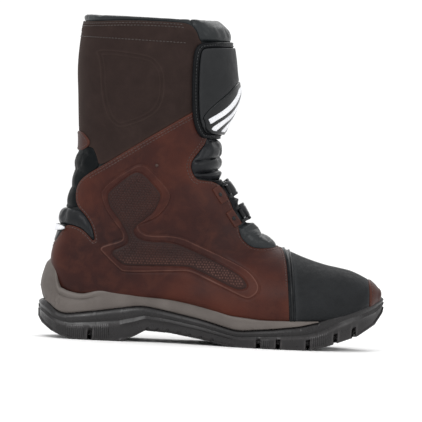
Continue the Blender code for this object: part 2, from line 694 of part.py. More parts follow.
def make_shaft():
    for side in ("medial", "lateral"):
        settle(panel(f"{side}_ankle_panel", OILED_LEATHER, LEATHER, [ABOVE_FLEX, QUARTER], side))
        settle(panel(f"{side}_calf_panel", SUEDE, LEATHER, [CALF], side,
                     [(BACK_STAY, "both"), (QUARTER, "both")]))
    settle(panel("back_stay", OILED_LEATHER, LEATHER, [BACK_STAY]))
    settle(panel("collar", BLACK_PLASTIC, COLLAR, [COLLAR_AREA], "both",
                 [(CALF, "both"), (SHIN_GUSSET, "both")]))
    settle(panel("shin_gusset", BLACK_FABRIC, LEATHER, [SHIN_GUSSET], "both"))
    settle(panel("shaft_lining", LINING_MESH, SHAFT_LINING, [ABOVE_FLEX], "both", [(COLLAR_AREA, "both")]))
    settle(panel("loop_tape", BLACK_FABRIC, LOOP_TAPE, [CLOSURE_STRIP], "lateral"))


def make_shin_flap():
    """The closure flap with its piping, shin plate, badge and hook tape."""
    flap = panel("flap", BLACK_FABRIC, FLAP, [FLAP_LATERAL])
    settle(cut(flap, side_cutter(BEHIND_FLAP_MEDIAL, "medial half"), "DIFFERENCE"))
    settle(panel("hook_tape", BLACK_FABRIC, HOOK_TAPE, [CLOSURE_STRIP], "lateral"))
    piping = panel("flap_piping", BLACK_PLASTIC, FLAP_PIPING, [FLAP_LATERAL])
    cut(piping, side_cutter(BEHIND_FLAP_MEDIAL, "medial half"), "DIFFERENCE")
    cut(piping, side_cutter(PIPING_INNER_MEDIAL, "medial"), "DIFFERENCE")
    settle(cut(piping, side_cutter(PIPING_INNER_LATERAL, "lateral half"), "DIFFERENCE"))
    settle(panel("shin_plate", BLACK_GRIP, FLAP_PLATE, [PLATE_AREA]))
    settle(panel("shin_badge", BLACK_PLASTIC, FLAP_PLATE, [BADGE_AREA], "both", [(PLATE_AREA, "both")]))


# -------------------------------------------------------------- straps, buckles
def band_outline(front, start, end, half_width):
    """A straight strip in side view, measured back from a front point."""
    x, z = front
    along = np.array(STRAP_DIRECTION)
    across = np.array((-along[1], along[0]))
    middle = np.array((x, z))
    corners = ((start, 1), (end, 1), (end, -1), (start, -1))
    return [tuple(middle + along * place + across * half_width * side) for place, side in corners]


def strap_seats(front, pin_back):
    """Seats of the medial strap hinge and of the lateral buckle."""
    x, z = front
    along_x, along_z = STRAP_DIRECTION
    medial = Seat(x + along_x * ANCHOR_BACK, z + along_z * ANCHOR_BACK, -1)
    lateral = Seat(x + along_x * pin_back, z + along_z * pin_back, 1)
    return medial, lateral


def both_sides(near, far):
    """The two spans across a seat that lie between two distances from its middle."""
    return (-far, -near), (near, far)


def make_strap(name, front, pin_back):
    """One instep strap, with the hinge knuckle at its medial end."""
    medial, _ = strap_seats(front, pin_back)
    area = band_outline(front, -STRAP_WRAP, pin_back + STRAP_END, STRAP_HALF_WIDTH)
    strap = panel(f"{name}_strap", BLACK_PLASTIC, STRAP, [area])
    beyond_hinge = band_outline(front, ANCHOR_BACK - 0.5, 120, 40)
    cut(strap, side_cutter(beyond_hinge, "medial half"), "DIFFERENCE")
    for across in both_sides(KNUCKLE_HALF + KNUCKLE_SIDE_GAP, CLEAR):
        cut(strap, seat_box(medial, (-STRAP_NECK, 12), across, (-4, 12)), "DIFFERENCE")
    cut(strap, seat_box(medial, (-STRAP_STOP, 12), (-CLEAR, CLEAR), (-4, 12)), "DIFFERENCE")
    knuckle = seat_rod(medial, KNUCKLE_RADIUS, 0, (-KNUCKLE_HALF, KNUCKLE_HALF), PIN_HEIGHT)
    cut(strap, knuckle, "UNION")
    cut(strap, seat_rod(medial, PIN_RADIUS + GAP, 0, (-CLEAR, CLEAR), PIN_HEIGHT), "DIFFERENCE")
    settle(strap)


def make_strap_anchor(name, front, pin_back):
    """The plate riveted to the medial quarter, its two ears and the hinge pin."""
    medial, _ = strap_seats(front, pin_back)
    seat_rod(medial, PIN_RADIUS, 0, (-EAR_OUTER, EAR_OUTER), PIN_HEIGHT, f"{name}_strap_pin", PARTS, STEEL)
    area = band_outline(front, ANCHOR_BACK - 2, ANCHOR_BACK + ANCHOR_LENGTH, STRAP_HALF_WIDTH)
    anchor = panel(f"{name}_strap_anchor", BLACK_PLASTIC, STRAP_PLATE, [area], "medial")
    cut(anchor, seat_box(medial, (-30, ANCHOR_START), (-CLEAR, CLEAR), (-5, 15)), "DIFFERENCE")
    for across in both_sides(KNUCKLE_HALF + EAR_SIDE_GAP, EAR_OUTER):
        cut(anchor, seat_rod(medial, KNUCKLE_RADIUS, 0, across, PIN_HEIGHT), "UNION")
        cut(anchor, seat_box(medial, EAR_FOOT, across, (1.0, PIN_HEIGHT + 1.2)), "UNION")
    cut(anchor, seat_rod(medial, PIN_RADIUS + GAP, 0, (-CLEAR, CLEAR), PIN_HEIGHT), "DIFFERENCE")
    settle(anchor)


def make_buckle(name, front, pin_back):
    """The lateral catch on the leather, and the frame, pin and lever it takes."""
    _, lateral = strap_seats(front, pin_back)
    start, end = CATCH_SPAN
    area = band_outline(front, pin_back + start, pin_back + end, CATCH_HALF_WIDTH)
    settle(panel(f"{name}_catch", BLACK_PLASTIC, STRAP, [area], "lateral"))

    width = (-FRAME_HALF_WIDTH, FRAME_HALF_WIDTH)
    frame = seat_box(lateral, FRAME_SPAN, width, FRAME_HEIGHTS, f"{name}_buckle_frame", PARTS, BLACK_PLASTIC)
    hollow = seat_box(lateral, (-CLEAR, CLEAR), (-FRAME_INNER, FRAME_INNER), (FRAME_FLOOR, CLEAR))
    cut(frame, hollow, "DIFFERENCE")
    cut(frame, seat_rod(lateral, PIN_RADIUS + GAP, 0, (-CLEAR, CLEAR), LEVER_PIN_HEIGHT), "DIFFERENCE")
    settle(frame)
    seat_rod(lateral, PIN_RADIUS, 0, width, LEVER_PIN_HEIGHT, f"{name}_lever_pin", PARTS, STEEL)

    width = (-LEVER_HALF_WIDTH, LEVER_HALF_WIDTH)
    lever = seat_box(lateral, (0, LEVER_LENGTH), width, LEVER_HEIGHTS, f"{name}_lever", PARTS, BLACK_PLASTIC)
    cut(lever, seat_rod(lateral, KNUCKLE_RADIUS - 0.2, 0, width, LEVER_PIN_HEIGHT), "UNION")
    cut(lever, seat_rod(lateral, PIN_RADIUS + GAP, 0, (-CLEAR, CLEAR), LEVER_PIN_HEIGHT), "DIFFERENCE")
    settle(lever)


# ------------------------------------------------------------------ joint axes
SHAFT_PIECES = (
    "medial_ankle_panel", "lateral_ankle_panel", "medial_calf_panel", "lateral_calf_panel", "back_stay",
    "collar", "shin_gusset", "shaft_lining", "loop_tape",
)
FLAP_PIECES = ("flap", "flap_piping", "shin_plate", "shin_badge", "hook_tape")
FLAP_HINGE = ((61.0, 262.0), (61.6, 212.0))
FLAP_HINGE_HEIGHT = 5.0


def hang(axis_name, place, direction, pieces, parent=None):
    """Parent the pieces to an empty that lies on their joint's axis."""
    axis = bpy.data.objects.new(axis_name, None)
    PARTS.objects.link(axis)
    axis.empty_display_size = 0.02
    axis.rotation_euler = direction.to_track_quat("Z", "Y").to_euler()
    axis.location = place * MM
    bpy.context.view_layer.update()
    if parent:
        keep = axis.matrix_world.copy()
        axis.parent = parent
        axis.matrix_parent_inverse = parent.matrix_world.inverted()
        axis.matrix_basis = keep
        bpy.context.view_layer.update()
    for name in pieces:
        piece = bpy.data.objects[name]
        piece.parent = axis
        piece.matrix_parent_inverse = axis.matrix_world.inverted()
    return axis


def hang_moving_pieces():
    ankle = hang("ankle_axis", Vector((PIVOT[0], 0, PIVOT[1])), Vector((0, 1, 0)), SHAFT_PIECES)
    ends = []
    for x, z in FLAP_HINGE:
        place, normal = on_skin(x, z, -1)
        ends.append(place + normal * FLAP_HINGE_HEIGHT)
    hang("flap_axis", (ends[0] + ends[1]) / 2, (ends[1] - ends[0]).normalized(), FLAP_PIECES, ankle)
    for name, front, pin_back in STRAPS:
        medial, lateral = strap_seats(front, pin_back)
        strap = hang(f"{name}_strap_axis", medial.point(0, 0, PIN_HEIGHT), medial.out.cross(medial.along),
                     (f"{name}_strap", f"{name}_buckle_frame", f"{name}_lever_pin"))
        hang(f"{name}_lever_axis", lateral.point(0, 0, LEVER_PIN_HEIGHT), lateral.along.cross(lateral.out),
             (f"{name}_lever",), strap)


make_sole()
make_inner_sole()
make_foot_upper()
make_toe_piping()
make_bellows()
make_shaft()
make_shin_flap()
for strap_name, strap_front, strap_pin in STRAPS:
    make_strap(strap_name, strap_front, strap_pin)
    make_strap_anchor(strap_name, strap_front, strap_pin)
    make_buckle(strap_name, strap_front, strap_pin)
hang_moving_pieces()
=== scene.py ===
"""Visual model of a left touring boot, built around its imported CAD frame.

Lengths are in millimetres until a mesh is made.  Every leather and textile
piece is cut from one lofted surface, the last, by an outline in the side view.
"""

import math

import bmesh
import bpy
import numpy as np
from mathutils import Matrix, Vector
from mathutils.kdtree import KDTree
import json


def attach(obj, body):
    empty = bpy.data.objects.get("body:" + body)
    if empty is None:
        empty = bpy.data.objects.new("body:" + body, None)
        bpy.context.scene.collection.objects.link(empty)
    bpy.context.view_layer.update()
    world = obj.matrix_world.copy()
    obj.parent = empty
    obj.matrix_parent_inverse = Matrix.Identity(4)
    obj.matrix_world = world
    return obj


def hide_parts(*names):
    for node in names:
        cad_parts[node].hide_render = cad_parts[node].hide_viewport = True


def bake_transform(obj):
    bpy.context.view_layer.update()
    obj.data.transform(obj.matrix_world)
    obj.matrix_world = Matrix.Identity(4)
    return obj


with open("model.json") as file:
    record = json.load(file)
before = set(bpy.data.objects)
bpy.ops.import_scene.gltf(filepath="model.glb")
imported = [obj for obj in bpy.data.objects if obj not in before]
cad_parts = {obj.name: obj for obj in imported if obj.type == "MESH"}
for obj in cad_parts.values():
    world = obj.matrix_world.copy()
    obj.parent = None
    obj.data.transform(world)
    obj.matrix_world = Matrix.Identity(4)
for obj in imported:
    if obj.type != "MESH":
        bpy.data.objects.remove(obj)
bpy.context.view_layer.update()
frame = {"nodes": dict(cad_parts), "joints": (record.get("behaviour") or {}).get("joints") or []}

# ------------------------------------------------------------- shared sizes
MM = 0.001
CELL = 1.4
COARSE_CELL = 3.0
RING_HALF = 150
COARSE_RING_HALF = 70
FAR_AWAY = 14.0
SHARP_ANGLE = math.radians(38)
EDGE_LEVELS = (0.25, 0.9)
HARD_LEVELS = (0.3, 0.9)
STITCH_PITCH = 3.1
STITCH_LENGTH = 2.2
STITCH_RADIUS = 0.42
STITCH_FLATNESS = 0.8
STITCH_SINK = 0.05
STITCH_STATIONS = ((-0.5, 0.35), (-0.38, 0.85), (0.0, 1.0), (0.38, 0.85), (0.5, 0.35))
STITCH_SIDES = 6
STITCH_LOOK = 1.2
CLOTH_FRAMES = 20
CLOTH_CELL = 4.5
CLOTH_REACH = 1.4
CLOTH_HELD_BELOW = 0.2
CLOTH_NEIGHBOURS = 6
CLOTH_BLUR = 1.5

# The leather surface of the boot, one row per cross-section: rear point (x, z),
# front point (x, z), medial and lateral half width, widest place, bluntness of
# the rear and front halves, and shift towards the big toe.
LAST = (
    (-35.5, 296.5, 78, 295.5, 54, 56, 0.48, 2.3, 2.3, 0),
    (-40, 288, 91, 284, 57, 59, 0.48, 2.3, 2.3, 0),
    (-42.5, 268, 94, 266, 58, 60, 0.48, 2.3, 2.3, 0),
    (-43.5, 246, 95, 246, 58, 60, 0.48, 2.3, 2.3, 0),
    (-42, 222, 95, 225, 55, 57, 0.48, 2.2, 2.2, 0),
    (-40.5, 198, 88.5, 203, 51, 53, 0.47, 2.2, 2.1, 0),
    (-39, 176, 85, 184, 47.5, 49.5, 0.46, 2.1, 2.1, 0),
    (-41, 155, 84, 168, 45, 47, 0.45, 2.1, 2.0, 0),
    (-44.5, 136, 87.5, 154, 43.5, 46, 0.44, 2.1, 2.0, 0),
    (-49.5, 115, 98, 141.5, 42, 45, 0.43, 2.1, 2.0, 0),
    (-55, 95, 106.5, 128.5, 40.5, 43.5, 0.42, 2.2, 2.0, 1),
    (-59.5, 74, 113, 117.5, 38.5, 41.5, 0.40, 2.4, 2.0, 1.5),
    (-56.5, 56, 117.5, 109, 37, 40, 0.39, 2.7, 2.0, 2),
    (-47, 41.5, 122.5, 103.3, 36, 39, 0.38, 3.1, 2.0, 2),
    (-24, 38, 129, 98, 36, 39, 0.36, 3.5, 2.0, 2),
    (8, 39, 137, 94.5, 36.5, 40, 0.34, 3.7, 2.0, 2),
    (42, 39.5, 146, 91, 38.5, 42, 0.33, 3.9, 2.05, 2),
    (76, 34, 156, 87.3, 43.5, 46, 0.32, 4.0, 2.1, 2.5),
    (106, 26, 167, 83, 49, 50, 0.32, 4.0, 2.2, 3),
    (134, 22, 179, 79, 52, 52, 0.33, 4.0, 2.3, 4),
    (160, 22, 191, 75.8, 51, 51, 0.34, 4.0, 2.4, 5),
    (184, 24, 203, 73.6, 48, 48, 0.36, 3.8, 2.5, 5.5),
    (205, 29, 214, 71.3, 43, 43, 0.38, 3.5, 2.5, 6.5),
    (221, 35.5, 224.5, 67, 35, 34.5, 0.40, 3.1, 2.5, 7),
    (232, 41, 233.5, 62, 25.5, 25, 0.44, 2.8, 2.4, 7.5),
    (238.3, 45.5, 239, 56.5, 14, 13.5, 0.50, 2.4, 2.3, 8),
)
TOE_CLOSING = (0.45, 0.72, 0.89, 0.975)
TOE_REACH = 2.7
TOE_HALF_LENGTH = 0.35
SECTION_STEPS = 500

# ------------------------------------------ outlines of the panels, side view
CALF_SEAM = ((-19.4, 157), (7.2, 174.8), (24.9, 186.6), (62.2, 210.4), (70, 215))
REAR_EDGE = (
    (-30.1, 150.1), (-37.1, 142.5), (-39.4, 134.1), (-39, 125), (-35.9, 118.7), (-30.2, 113.5),
    (-24.3, 105.5), (-21.2, 97.4), (-19.8, 88.3), (-25.6, 94.5), (-31.3, 99.7), (-37, 102.2),
    (-44.4, 103.6), (-47.9, 101.6), (-51.3, 96), (-56.4, 87.5), (-64, 80),
)
QUARTER_FRONT = (
    (77.5, 200), (77.2, 185), (71.2, 176), (64.3, 166.6), (63.7, 160.1), (66.8, 152.9),
    (70.7, 149.5), (77.1, 148.9), (86, 148), (95, 141.5), (101, 130), (106, 119), (109, 110),
    (111, 101), (114.5, 95.7), (121.1, 90.5), (128.5, 89), (137.6, 89.5), (147.6, 90.9),
)
TOE_SEAM = ((148.5, 91.8), (152.4, 86.5), (155.7, 74.8), (157.8, 52), (159.9, 27.4), (160.5, 0))
TIP_SEAM = ((229.5, 64.6), (230.9, 55.5), (231.2, 47.3), (231.2, 0))
TOE_AREA = TOE_SEAM + ((300, 0), (300, 130), (147, 130))
TIP_AREA = TIP_SEAM + ((300, 0), (300, 100), (228, 100))
QUARTER = (
    ((77.5, 215),) + tuple(reversed(CALF_SEAM)) + REAR_EDGE + ((-90, 80), (-90, 0), (190, 0), (147, 130))
    + tuple(reversed(QUARTER_FRONT))
)
CALF = CALF_SEAM + (
    (70, 272), (66.3, 278.4), (63.2, 285.5), (56.5, 291.6), (38.2, 292.1), (1.6, 291.7),
    (-38.6, 288.9), (-90, 288.5), (-90, 165), (-28.7, 178.6), (-21.8, 167),
)
BACK_STAY = (
    (-90, 189), (-40.2, 189), (-35.6, 188.3), (-30.8, 184), (-27.8, 178.6), (-31.2, 173.9),
    (-36.6, 170.9), (-90, 171),
)
ACHILLES = (
    (-90, 190), (-28.7, 178.6), (-21.8, 167), (-19.4, 157), (-30.1, 150.1), (-37.1, 142.5),
    (-39.4, 134.1), (-39, 125), (-35.9, 118.7), (-90, 118.7),
)
HEEL_PAD = (
    (-90, 118.4), (-35.7, 118.4), (-30.2, 113.5), (-24.3, 105.5), (-21.2, 97.4), (-19.8, 88.3),
    (-25.6, 94.5), (-31.3, 99.7), (-37, 102.2), (-44.4, 103.6), (-90, 104),
)
HEEL_BAND = ((-90, 104), (-44.4, 103.6), (-47.9, 101.6), (-51.3, 96), (-56.4, 87.5), (-64, 80), (-90, 80))
HEEL_TAB = ((-90, 103.0), (-45.5, 103.0), (-47.5, 96.5), (-90, 96.5))
COLLAR_AREA = (
    (-90, 288.6), (-38.6, 288.9), (1.6, 291.7), (38.2, 292.1), (56.5, 291.6), (63.2, 285.5),
    (66.3, 278.4), (70, 274), (130, 274), (130, 330), (-90, 330),
)
FRONT_PAD = ((66.5, 277), (63.6, 285.5), (58, 292), (52, 330), (130, 330), (130, 274), (70, 274))
FRONT_BELLOWS = ((50, 150.3), (130, 150.3), (130, 187.5), (50, 187.5))
TONGUE_PAD = ((106, 119), (107.5, 111), (109.5, 101), (114.5, 95.2), (121, 90), (128, 88.3),
              (138, 89), (148, 90.9), (160, 92), (160, 140), (120, 140))
FLAP_MEDIAL = (
    (130, 276.3), (84.7, 275.6), (71.1, 274.5), (65.6, 272.8), (62.2, 268.1), (60.9, 258),
    (60.8, 239.6), (62.2, 210.4), (64.6, 198.6), (68.7, 190.6), (73.4, 187.1), (130, 187.1),
)
FLAP_LATERAL = (
    (130, 276.3), (84.7, 275.6), (40, 273.5), (33, 270), (29.5, 262), (29, 240), (32, 219),
    (40, 206), (55, 195), (73.4, 187.1), (130, 187.1),
)
BADGE_AREA = (
    (130, 280), (98.5, 243.7), (69.1, 209.8), (72.0, 203.6), (72.6, 196.3), (78.5, 191.8), (130, 191.0),
)
EMBOSS_OUTER = (
    (-15.7, 135.2), (-9.7, 143.8), (12.5, 159.5), (19.7, 161.7), (26.3, 158.3), (45.6, 138.2),
    (46.8, 131.8), (41.8, 121.5), (33, 112.9), (19.6, 107.6), (17.9, 104.8), (21.8, 99.5),
    (29.2, 97.1), (54.8, 98.3), (75.4, 89.2), (112.8, 72.7), (122.3, 66.8), (130, 58),
    (130.4, 50.7), (123.3, 44.8), (118.7, 44.6), (106.6, 49.5), (81.4, 60.2), (67.3, 66),
    (58.2, 66), (8, 63.1), (3.3, 65.6), (-13, 80.4), (-15, 83.1), (-13.3, 85.9), (3.9, 91.3),
    (5.6, 94.1), (4.4, 99.6), (-5.3, 111), (-12.3, 121.7), (-15.4, 130.7),
)
EMBOSS_INNER = (
    (-11, 132.7), (-7.5, 137.5), (10.1, 153), (17.3, 155.1), (23.9, 150.9), (36.4, 137.7),
    (38.5, 133.3), (33.6, 119.3), (23.9, 111.5), (16.9, 104.8), (14.4, 101), (17.4, 94.7),
    (29.5, 91.6), (49.6, 92.6), (75.7, 82.8), (113.2, 65.4), (119.9, 57.5), (120.1, 53.8),
    (116.6, 51.8), (109.2, 51.5), (90.5, 59.8), (71.8, 68), (62.6, 70.3), (10.4, 68.7),
    (4.9, 70.3), (-7.5, 80.7), (6.8, 86.9), (10.3, 90.7), (9, 98), (1.1, 110.4), (-8.6, 121.8),
)
CALF_EMBOSS = (
    (-29.2, 265.5), (21.3, 261.6), (30.8, 254.7), (36.9, 243.1), (37, 220.2), (28.6, 206),
    (6.2, 195.8), (-4.7, 193.5), (-14.4, 204), (-19.8, 222), (-22.3, 254),
)
TONGUE_BOX = ((60, 84), (170, 84), (170, 152), (60, 152))
RIVET_PLACE = (32.5, 161.4)

# ------------------------------------------- heights of pieces over the last
SIDES = (("medial", -1), ("lateral", 1))
LEATHER_LIFT = 0.9
SUEDE_LIFT = 0.1
# Distance inside the shield's outline, height and width of each pressed line.
SHIELD_LINES = ((0.6, 0.45, 0.65), (2.1, -0.25, 0.7), (4.2, 0.4, 0.6))
COLLAR_SEAT = -3.7
PAD_SEAT = -0.6
PAD_UNDER = -1.6
SOFT_LEVELS = (0.2, 0.7, 1.6)
PAD_LEVELS = (0.3, 1.0, 2.2)
PEBBLE_PITCH = 2.6
PEBBLE_ROW = 0.866
PEBBLE_RADIUS = 0.56
PEBBLE_HEIGHT = 0.55
PEBBLE_UNEVEN = 0.18
ACHILLES_FOLD = 17.5
BELLOWS_VALLEYS = (150.0, 159.2, 171.4, 187.0)
BADGE_BORDER = 4.4
BAR_TOP = 6.2

# -------------------------------------------------------------- instep straps
STRAP_DIRECTION = (-0.82, -0.572)
STRAP_HALF_WIDTH = 8.0
STRAPS = (("upper", (99.5, 142.3), 49.0), ("lower", (113.0, 121.3), 45.0))
ANCHOR_BACK = 4.0
STRAP_END = 6.0
STRAP_TOOTH = 3.4
CATCH_SPAN = (8.0, 31.0)
CATCH_HALF_WIDTH = 6.5
CATCH_TOOTH = 3.3
PIN_RADIUS = 2.75
KNUCKLE_HALF = 4.4
# Outlines of the buckle parts as (along the strap, outward) from their pin.
HINGE_EAR = ((6.8, -2.4), (6.6, 0.6), (2.0, 2.4), (0, 2.75), (-1.9, 2.0), (-2.75, 0), (-2.0, -2.0))
KNUCKLE_LEAF = ((-7.5, -2.2), (-7.5, -0.4), (-1, 1.4), (-0.4, -2.4))
BUCKLE_CHEEK = ((-12, -4.2), (-12, -1.6), (-9, 0.2), (-4, 2.2), (0, 2.6), (3.2, 2.0), (4.5, 0), (4.5, -4.2))
BUCKLE_BASE = ((-12.5, -4.3), (4.8, -4.3), (4.8, -3.0), (-12.5, -3.0))
LEVER = (
    (-2.3, -1.3), (-2.6, 0.6), (-1.2, 2.3), (2.5, 2.3), (8, 1.5), (20, 1.3), (28, 1.9), (32.4, 3.1),
    (33.0, 2.3), (31.5, 0.9), (26, 0.0), (16, -0.5), (8, -0.7), (3, -1.6), (0, -2.5),
)
LEVER_RIB = ((-0.6, -0.4), (-0.35, 0.75), (0.35, 0.75), (0.6, -0.4))
LEVER_RIBS = (20.5, 23.0, 25.5, 28.0)


# ------------------------------------------------------------- leather surface
class Patch:
    """A piece of surface: points, outward normals, triangles and named values at the points."""

    def __init__(self, place, normal, faces, values):
        self.place = place
        self.normal = normal
        self.faces = faces
        self.values = values

    def copy(self):
        return Patch(self.place, self.normal, self.faces, dict(self.values))


def catmull_rom(before, low, high, after, t):
    """Curve from low to high that follows the points before and after them."""
    return 0.5 * (2 * low + (high - before) * t + (2 * before - 5 * low + 4 * high - after) * t ** 2
                  + (3 * low - 3 * high + after - before) * t ** 3)


def travelled(line):
    """Distance along a line at each of its points."""
    return np.concatenate(([0], np.cumsum(np.linalg.norm(np.diff(line, axis=0), axis=1))))


def point_at(marks, gone, line):
    """Points at the given distances along a line."""
    return np.stack([np.interp(marks, gone, line[:, axis]) for axis in range(3)], axis=-1)


def smooth_rows(cell):
    """The rows of the last with Catmull-Rom rows between them, closed at the toe."""
    table = np.array(LAST, dtype=float)
    count = len(table)
    made = []
    for span in range(count - 1):
        near = [table[min(max(index, 0), count - 1)] for index in range(span - 1, span + 3)]
        low, high = near[1:3]
        reach = max(np.linalg.norm(high[0:2] - low[0:2]), np.linalg.norm(high[2:4] - low[2:4]))
        steps = max(1, math.ceil(reach / cell))
        made += [catmull_rom(*near, step / steps) for step in range(steps)]
    end = table[-1]
    made.append(end)
    middle_z = (end[1] + end[3]) / 2
    half_height = (end[3] - end[1]) / 2
    for share in TOE_CLOSING:
        size = math.sqrt(1 - share ** 2)
        middle_x = (end[0] + end[2]) / 2 + TOE_REACH * share
        row = end.copy()
        row[0] = middle_x - TOE_HALF_LENGTH * size
        row[1] = middle_z - half_height * size
        row[2] = middle_x + TOE_HALF_LENGTH * size
        row[3] = middle_z + half_height * size
        row[4:6] = end[4:6] * size
        made.append(row)
    return np.array(made)


def section(row, half):
    """Points around one cross-section of the last, evenly spaced down each side."""
    rear_x, rear_z, front_x, front_z, medial, lateral, widest, rear_blunt, front_blunt, shift = row
    angles = np.linspace(0, math.pi, SECTION_STEPS)
    along = np.cos(angles)
    power = np.where(along > 0, 2 / rear_blunt, 2 / front_blunt)
    place = (1 - np.sign(along) * np.abs(along) ** power) / 2
    place = place ** (math.log(widest) / math.log(0.5))
    halves = []
    for side, width in ((1, lateral), (-1, medial)):
        line = np.stack([rear_x + (front_x - rear_x) * place, side * width * np.sin(angles) ** power - shift,
                         rear_z + (front_z - rear_z) * place], axis=1)
        gone = travelled(line)
        halves.append(point_at(np.linspace(0, gone[-1], half + 1), gone, line))
    return np.concatenate([halves[0], halves[1][-2:0:-1]])


def skin_surface(cell, half):
    """The whole leather surface as one patch, from the rim (row 0) to the toe.

    Its values are side (offset from the middle of the section), down (distance
    below the rim) and wrap (distance around the section from its front).
    """
    rows = smooth_rows(cell)
    rings = np.array([section(row, half) for row in rows])
    count, around = rings.shape[:2]
    ids = np.arange(count * around).reshape(count, around)
    after = np.roll(ids, -1, axis=1)
    first = np.stack([ids[:-1], after[:-1], after[1:]], axis=2).reshape(-1, 3)
    second = np.stack([ids[:-1], after[1:], ids[1:]], axis=2).reshape(-1, 3)
    cap = np.stack([ids[-1], after[-1], np.full(around, count * around)], axis=1)
    toe_end = rings[-1].mean(axis=0) + (0.1, 0, 0)
    place = np.concatenate([rings.reshape(-1, 3), [toe_end]])
    faces = np.concatenate([first, second, cap])
    normal = point_normals(place, faces)
    if normal[:around, 0][rings[0, :, 0].argmin()] > 0:
        faces = faces[:, ::-1]
        normal = -normal
    lap = np.linalg.norm(np.diff(np.concatenate([rings, rings[:, :1]], axis=1), axis=1), axis=2)
    gone = np.concatenate([np.zeros((count, 1)), np.cumsum(lap, axis=1)], axis=1)
    step = np.linalg.norm(np.diff(rings, axis=0), axis=2)
    values = {
        "side": (rings[:, :, 1] + rows[:, None, 9], 0.0),
        "down": (np.concatenate([np.zeros((1, around)), np.cumsum(step, axis=0)]), 999.0),
        "wrap": (gone[:, half:half + 1] - gone[:, :-1], 0.0),
    }
    values = {name: np.concatenate([value.ravel(), [end]]) for name, (value, end) in values.items()}
    return Patch(place, normal, faces, values)


def point_normals(place, faces):
    """Area-weighted unit normals at the points."""
    corners = place[faces]
    flat = np.cross(corners[:, 1] - corners[:, 0], corners[:, 2] - corners[:, 0])
    normal = np.zeros_like(place)
    for corner in range(3):
        np.add.at(normal, faces[:, corner], flat)
    return normal / np.maximum(np.linalg.norm(normal, axis=1), 1e-12)[:, None]


SKIN = skin_surface(CELL, RING_HALF)


# ------------------------------------------------------------ side-view fields
def rounded(outline):
    """The closed outline with its corners cut twice, so that it runs in curves."""
    points = np.array(outline, dtype=float)
    for _ in range(2):
        after = np.roll(points, -1, axis=0)
        cut = np.stack([0.75 * points + 0.25 * after, 0.25 * points + 0.75 * after], axis=1)
        points = cut.reshape(-1, 2)
    return points


def inside_distance(points, outline):
    """How far each side-view point lies inside the outline, negative outside it."""
    result = np.full(len(points), -FAR_AWAY)
    low, high = outline.min(axis=0) - FAR_AWAY, outline.max(axis=0) + FAR_AWAY
    near = np.all((points > low) & (points < high), axis=1)
    spots = points[near]
    best = np.full(len(spots), 1e9)
    inside = np.zeros(len(spots), dtype=bool)
    for start, end in zip(outline, np.roll(outline, -1, axis=0)):
        edge = end - start
        size = edge @ edge
        if size < 1e-12:
            continue
        apart = spots - start
        share = np.clip(apart @ edge / size, 0, 1)
        best = np.minimum(best, ((apart - share[:, None] * edge) ** 2).sum(axis=1))
        if start[1] != end[1]:
            level = (start[1] > spots[:, 1]) != (end[1] > spots[:, 1])
            cross = start[0] + edge[0] * (spots[:, 1] - start[1]) / edge[1]
            inside ^= level & (spots[:, 0] < cross)
    result[near] = np.where(inside, 1, -1) * np.sqrt(best)
    return np.clip(result, -FAR_AWAY, FAR_AWAY)


def area(outline, surface=None):
    """How far inside an outline each point of the surface lies, in the side view."""
    surface = surface or SKIN
    return inside_distance(surface.place[:, [0, 2]], rounded(outline))


def split_area(medial, lateral):
    """One outline on the medial side and another on the lateral side."""
    return np.where(SKIN.values["side"] < 0, area(medial), area(lateral))


def within(*edges):
    """The least of several distances: inside all of the areas at once."""
    return np.minimum.reduce(edges)


def smooth(value, low=0.0, high=1.0):
    """Eased step from 0 at low to 1 at high."""
    t = np.clip((value - low) / (high - low), 0, 1)
    return t * t * (3 - 2 * t)


def ridge(value, centre, width):
    """Rounded bump, 1 at the centre."""
    return np.exp(-((value - centre) / width) ** 2)


def crown(distance, width):
    """Height of a padded section, 0 at its edge and 1 from that width inward."""
    t = np.clip(distance / width, 0, 1)
    return np.sqrt(np.clip(1 - (1 - t) ** 2, 0, 1))


def rim(distance, height, radius=0.9):
    """Height of a flat panel with a rounded edge."""
    return height - radius + radius * crown(distance, radius)


# ----------------------------------------------------------- cutting a surface
def interpolated(patch, pairs, share):
    """Add points on the given edges and return their numbers."""
    first, second = pairs.T
    weight = share[:, None]
    count = len(patch.place)
    fresh = patch.place[first] * (1 - weight) + patch.place[second] * weight
    patch.place = np.concatenate([patch.place, fresh])
    mixed = patch.normal[first] * (1 - weight) + patch.normal[second] * weight
    mixed /= np.linalg.norm(mixed, axis=1)[:, None]
    patch.normal = np.concatenate([patch.normal, mixed])
    for name, value in patch.values.items():
        patch.values[name] = np.concatenate([value, value[first] * (1 - share) + value[second] * share])
    return np.arange(count, len(patch.place))


def crossed(values, faces, level):
    """Triangles and edges that the values cross at the level.

    Gives a mask of the triangles, their corners with the lone one first, the cut
    edges, how far along each the cut lies, and the two cuts of each triangle.
    """
    apart = values - level
    apart = np.where(np.abs(apart) < 1e-9, 1e-9, apart)
    above = apart[faces] > 0
    count = above.sum(axis=1)
    mixed = (count == 1) | (count == 2)
    lone = np.where(count[mixed] == 1, above[mixed].argmax(axis=1), (~above[mixed]).argmax(axis=1))
    corners = np.take_along_axis(faces[mixed], (lone[:, None] + np.arange(3)) % 3, axis=1)
    edges = np.sort(np.concatenate([corners[:, [0, 1]], corners[:, [0, 2]]]), axis=1)
    edges, where = np.unique(edges, axis=0, return_inverse=True)
    low, high = apart[edges[:, 0]], apart[edges[:, 1]]
    return mixed, corners, edges, low / (low - high), where.reshape(2, -1)


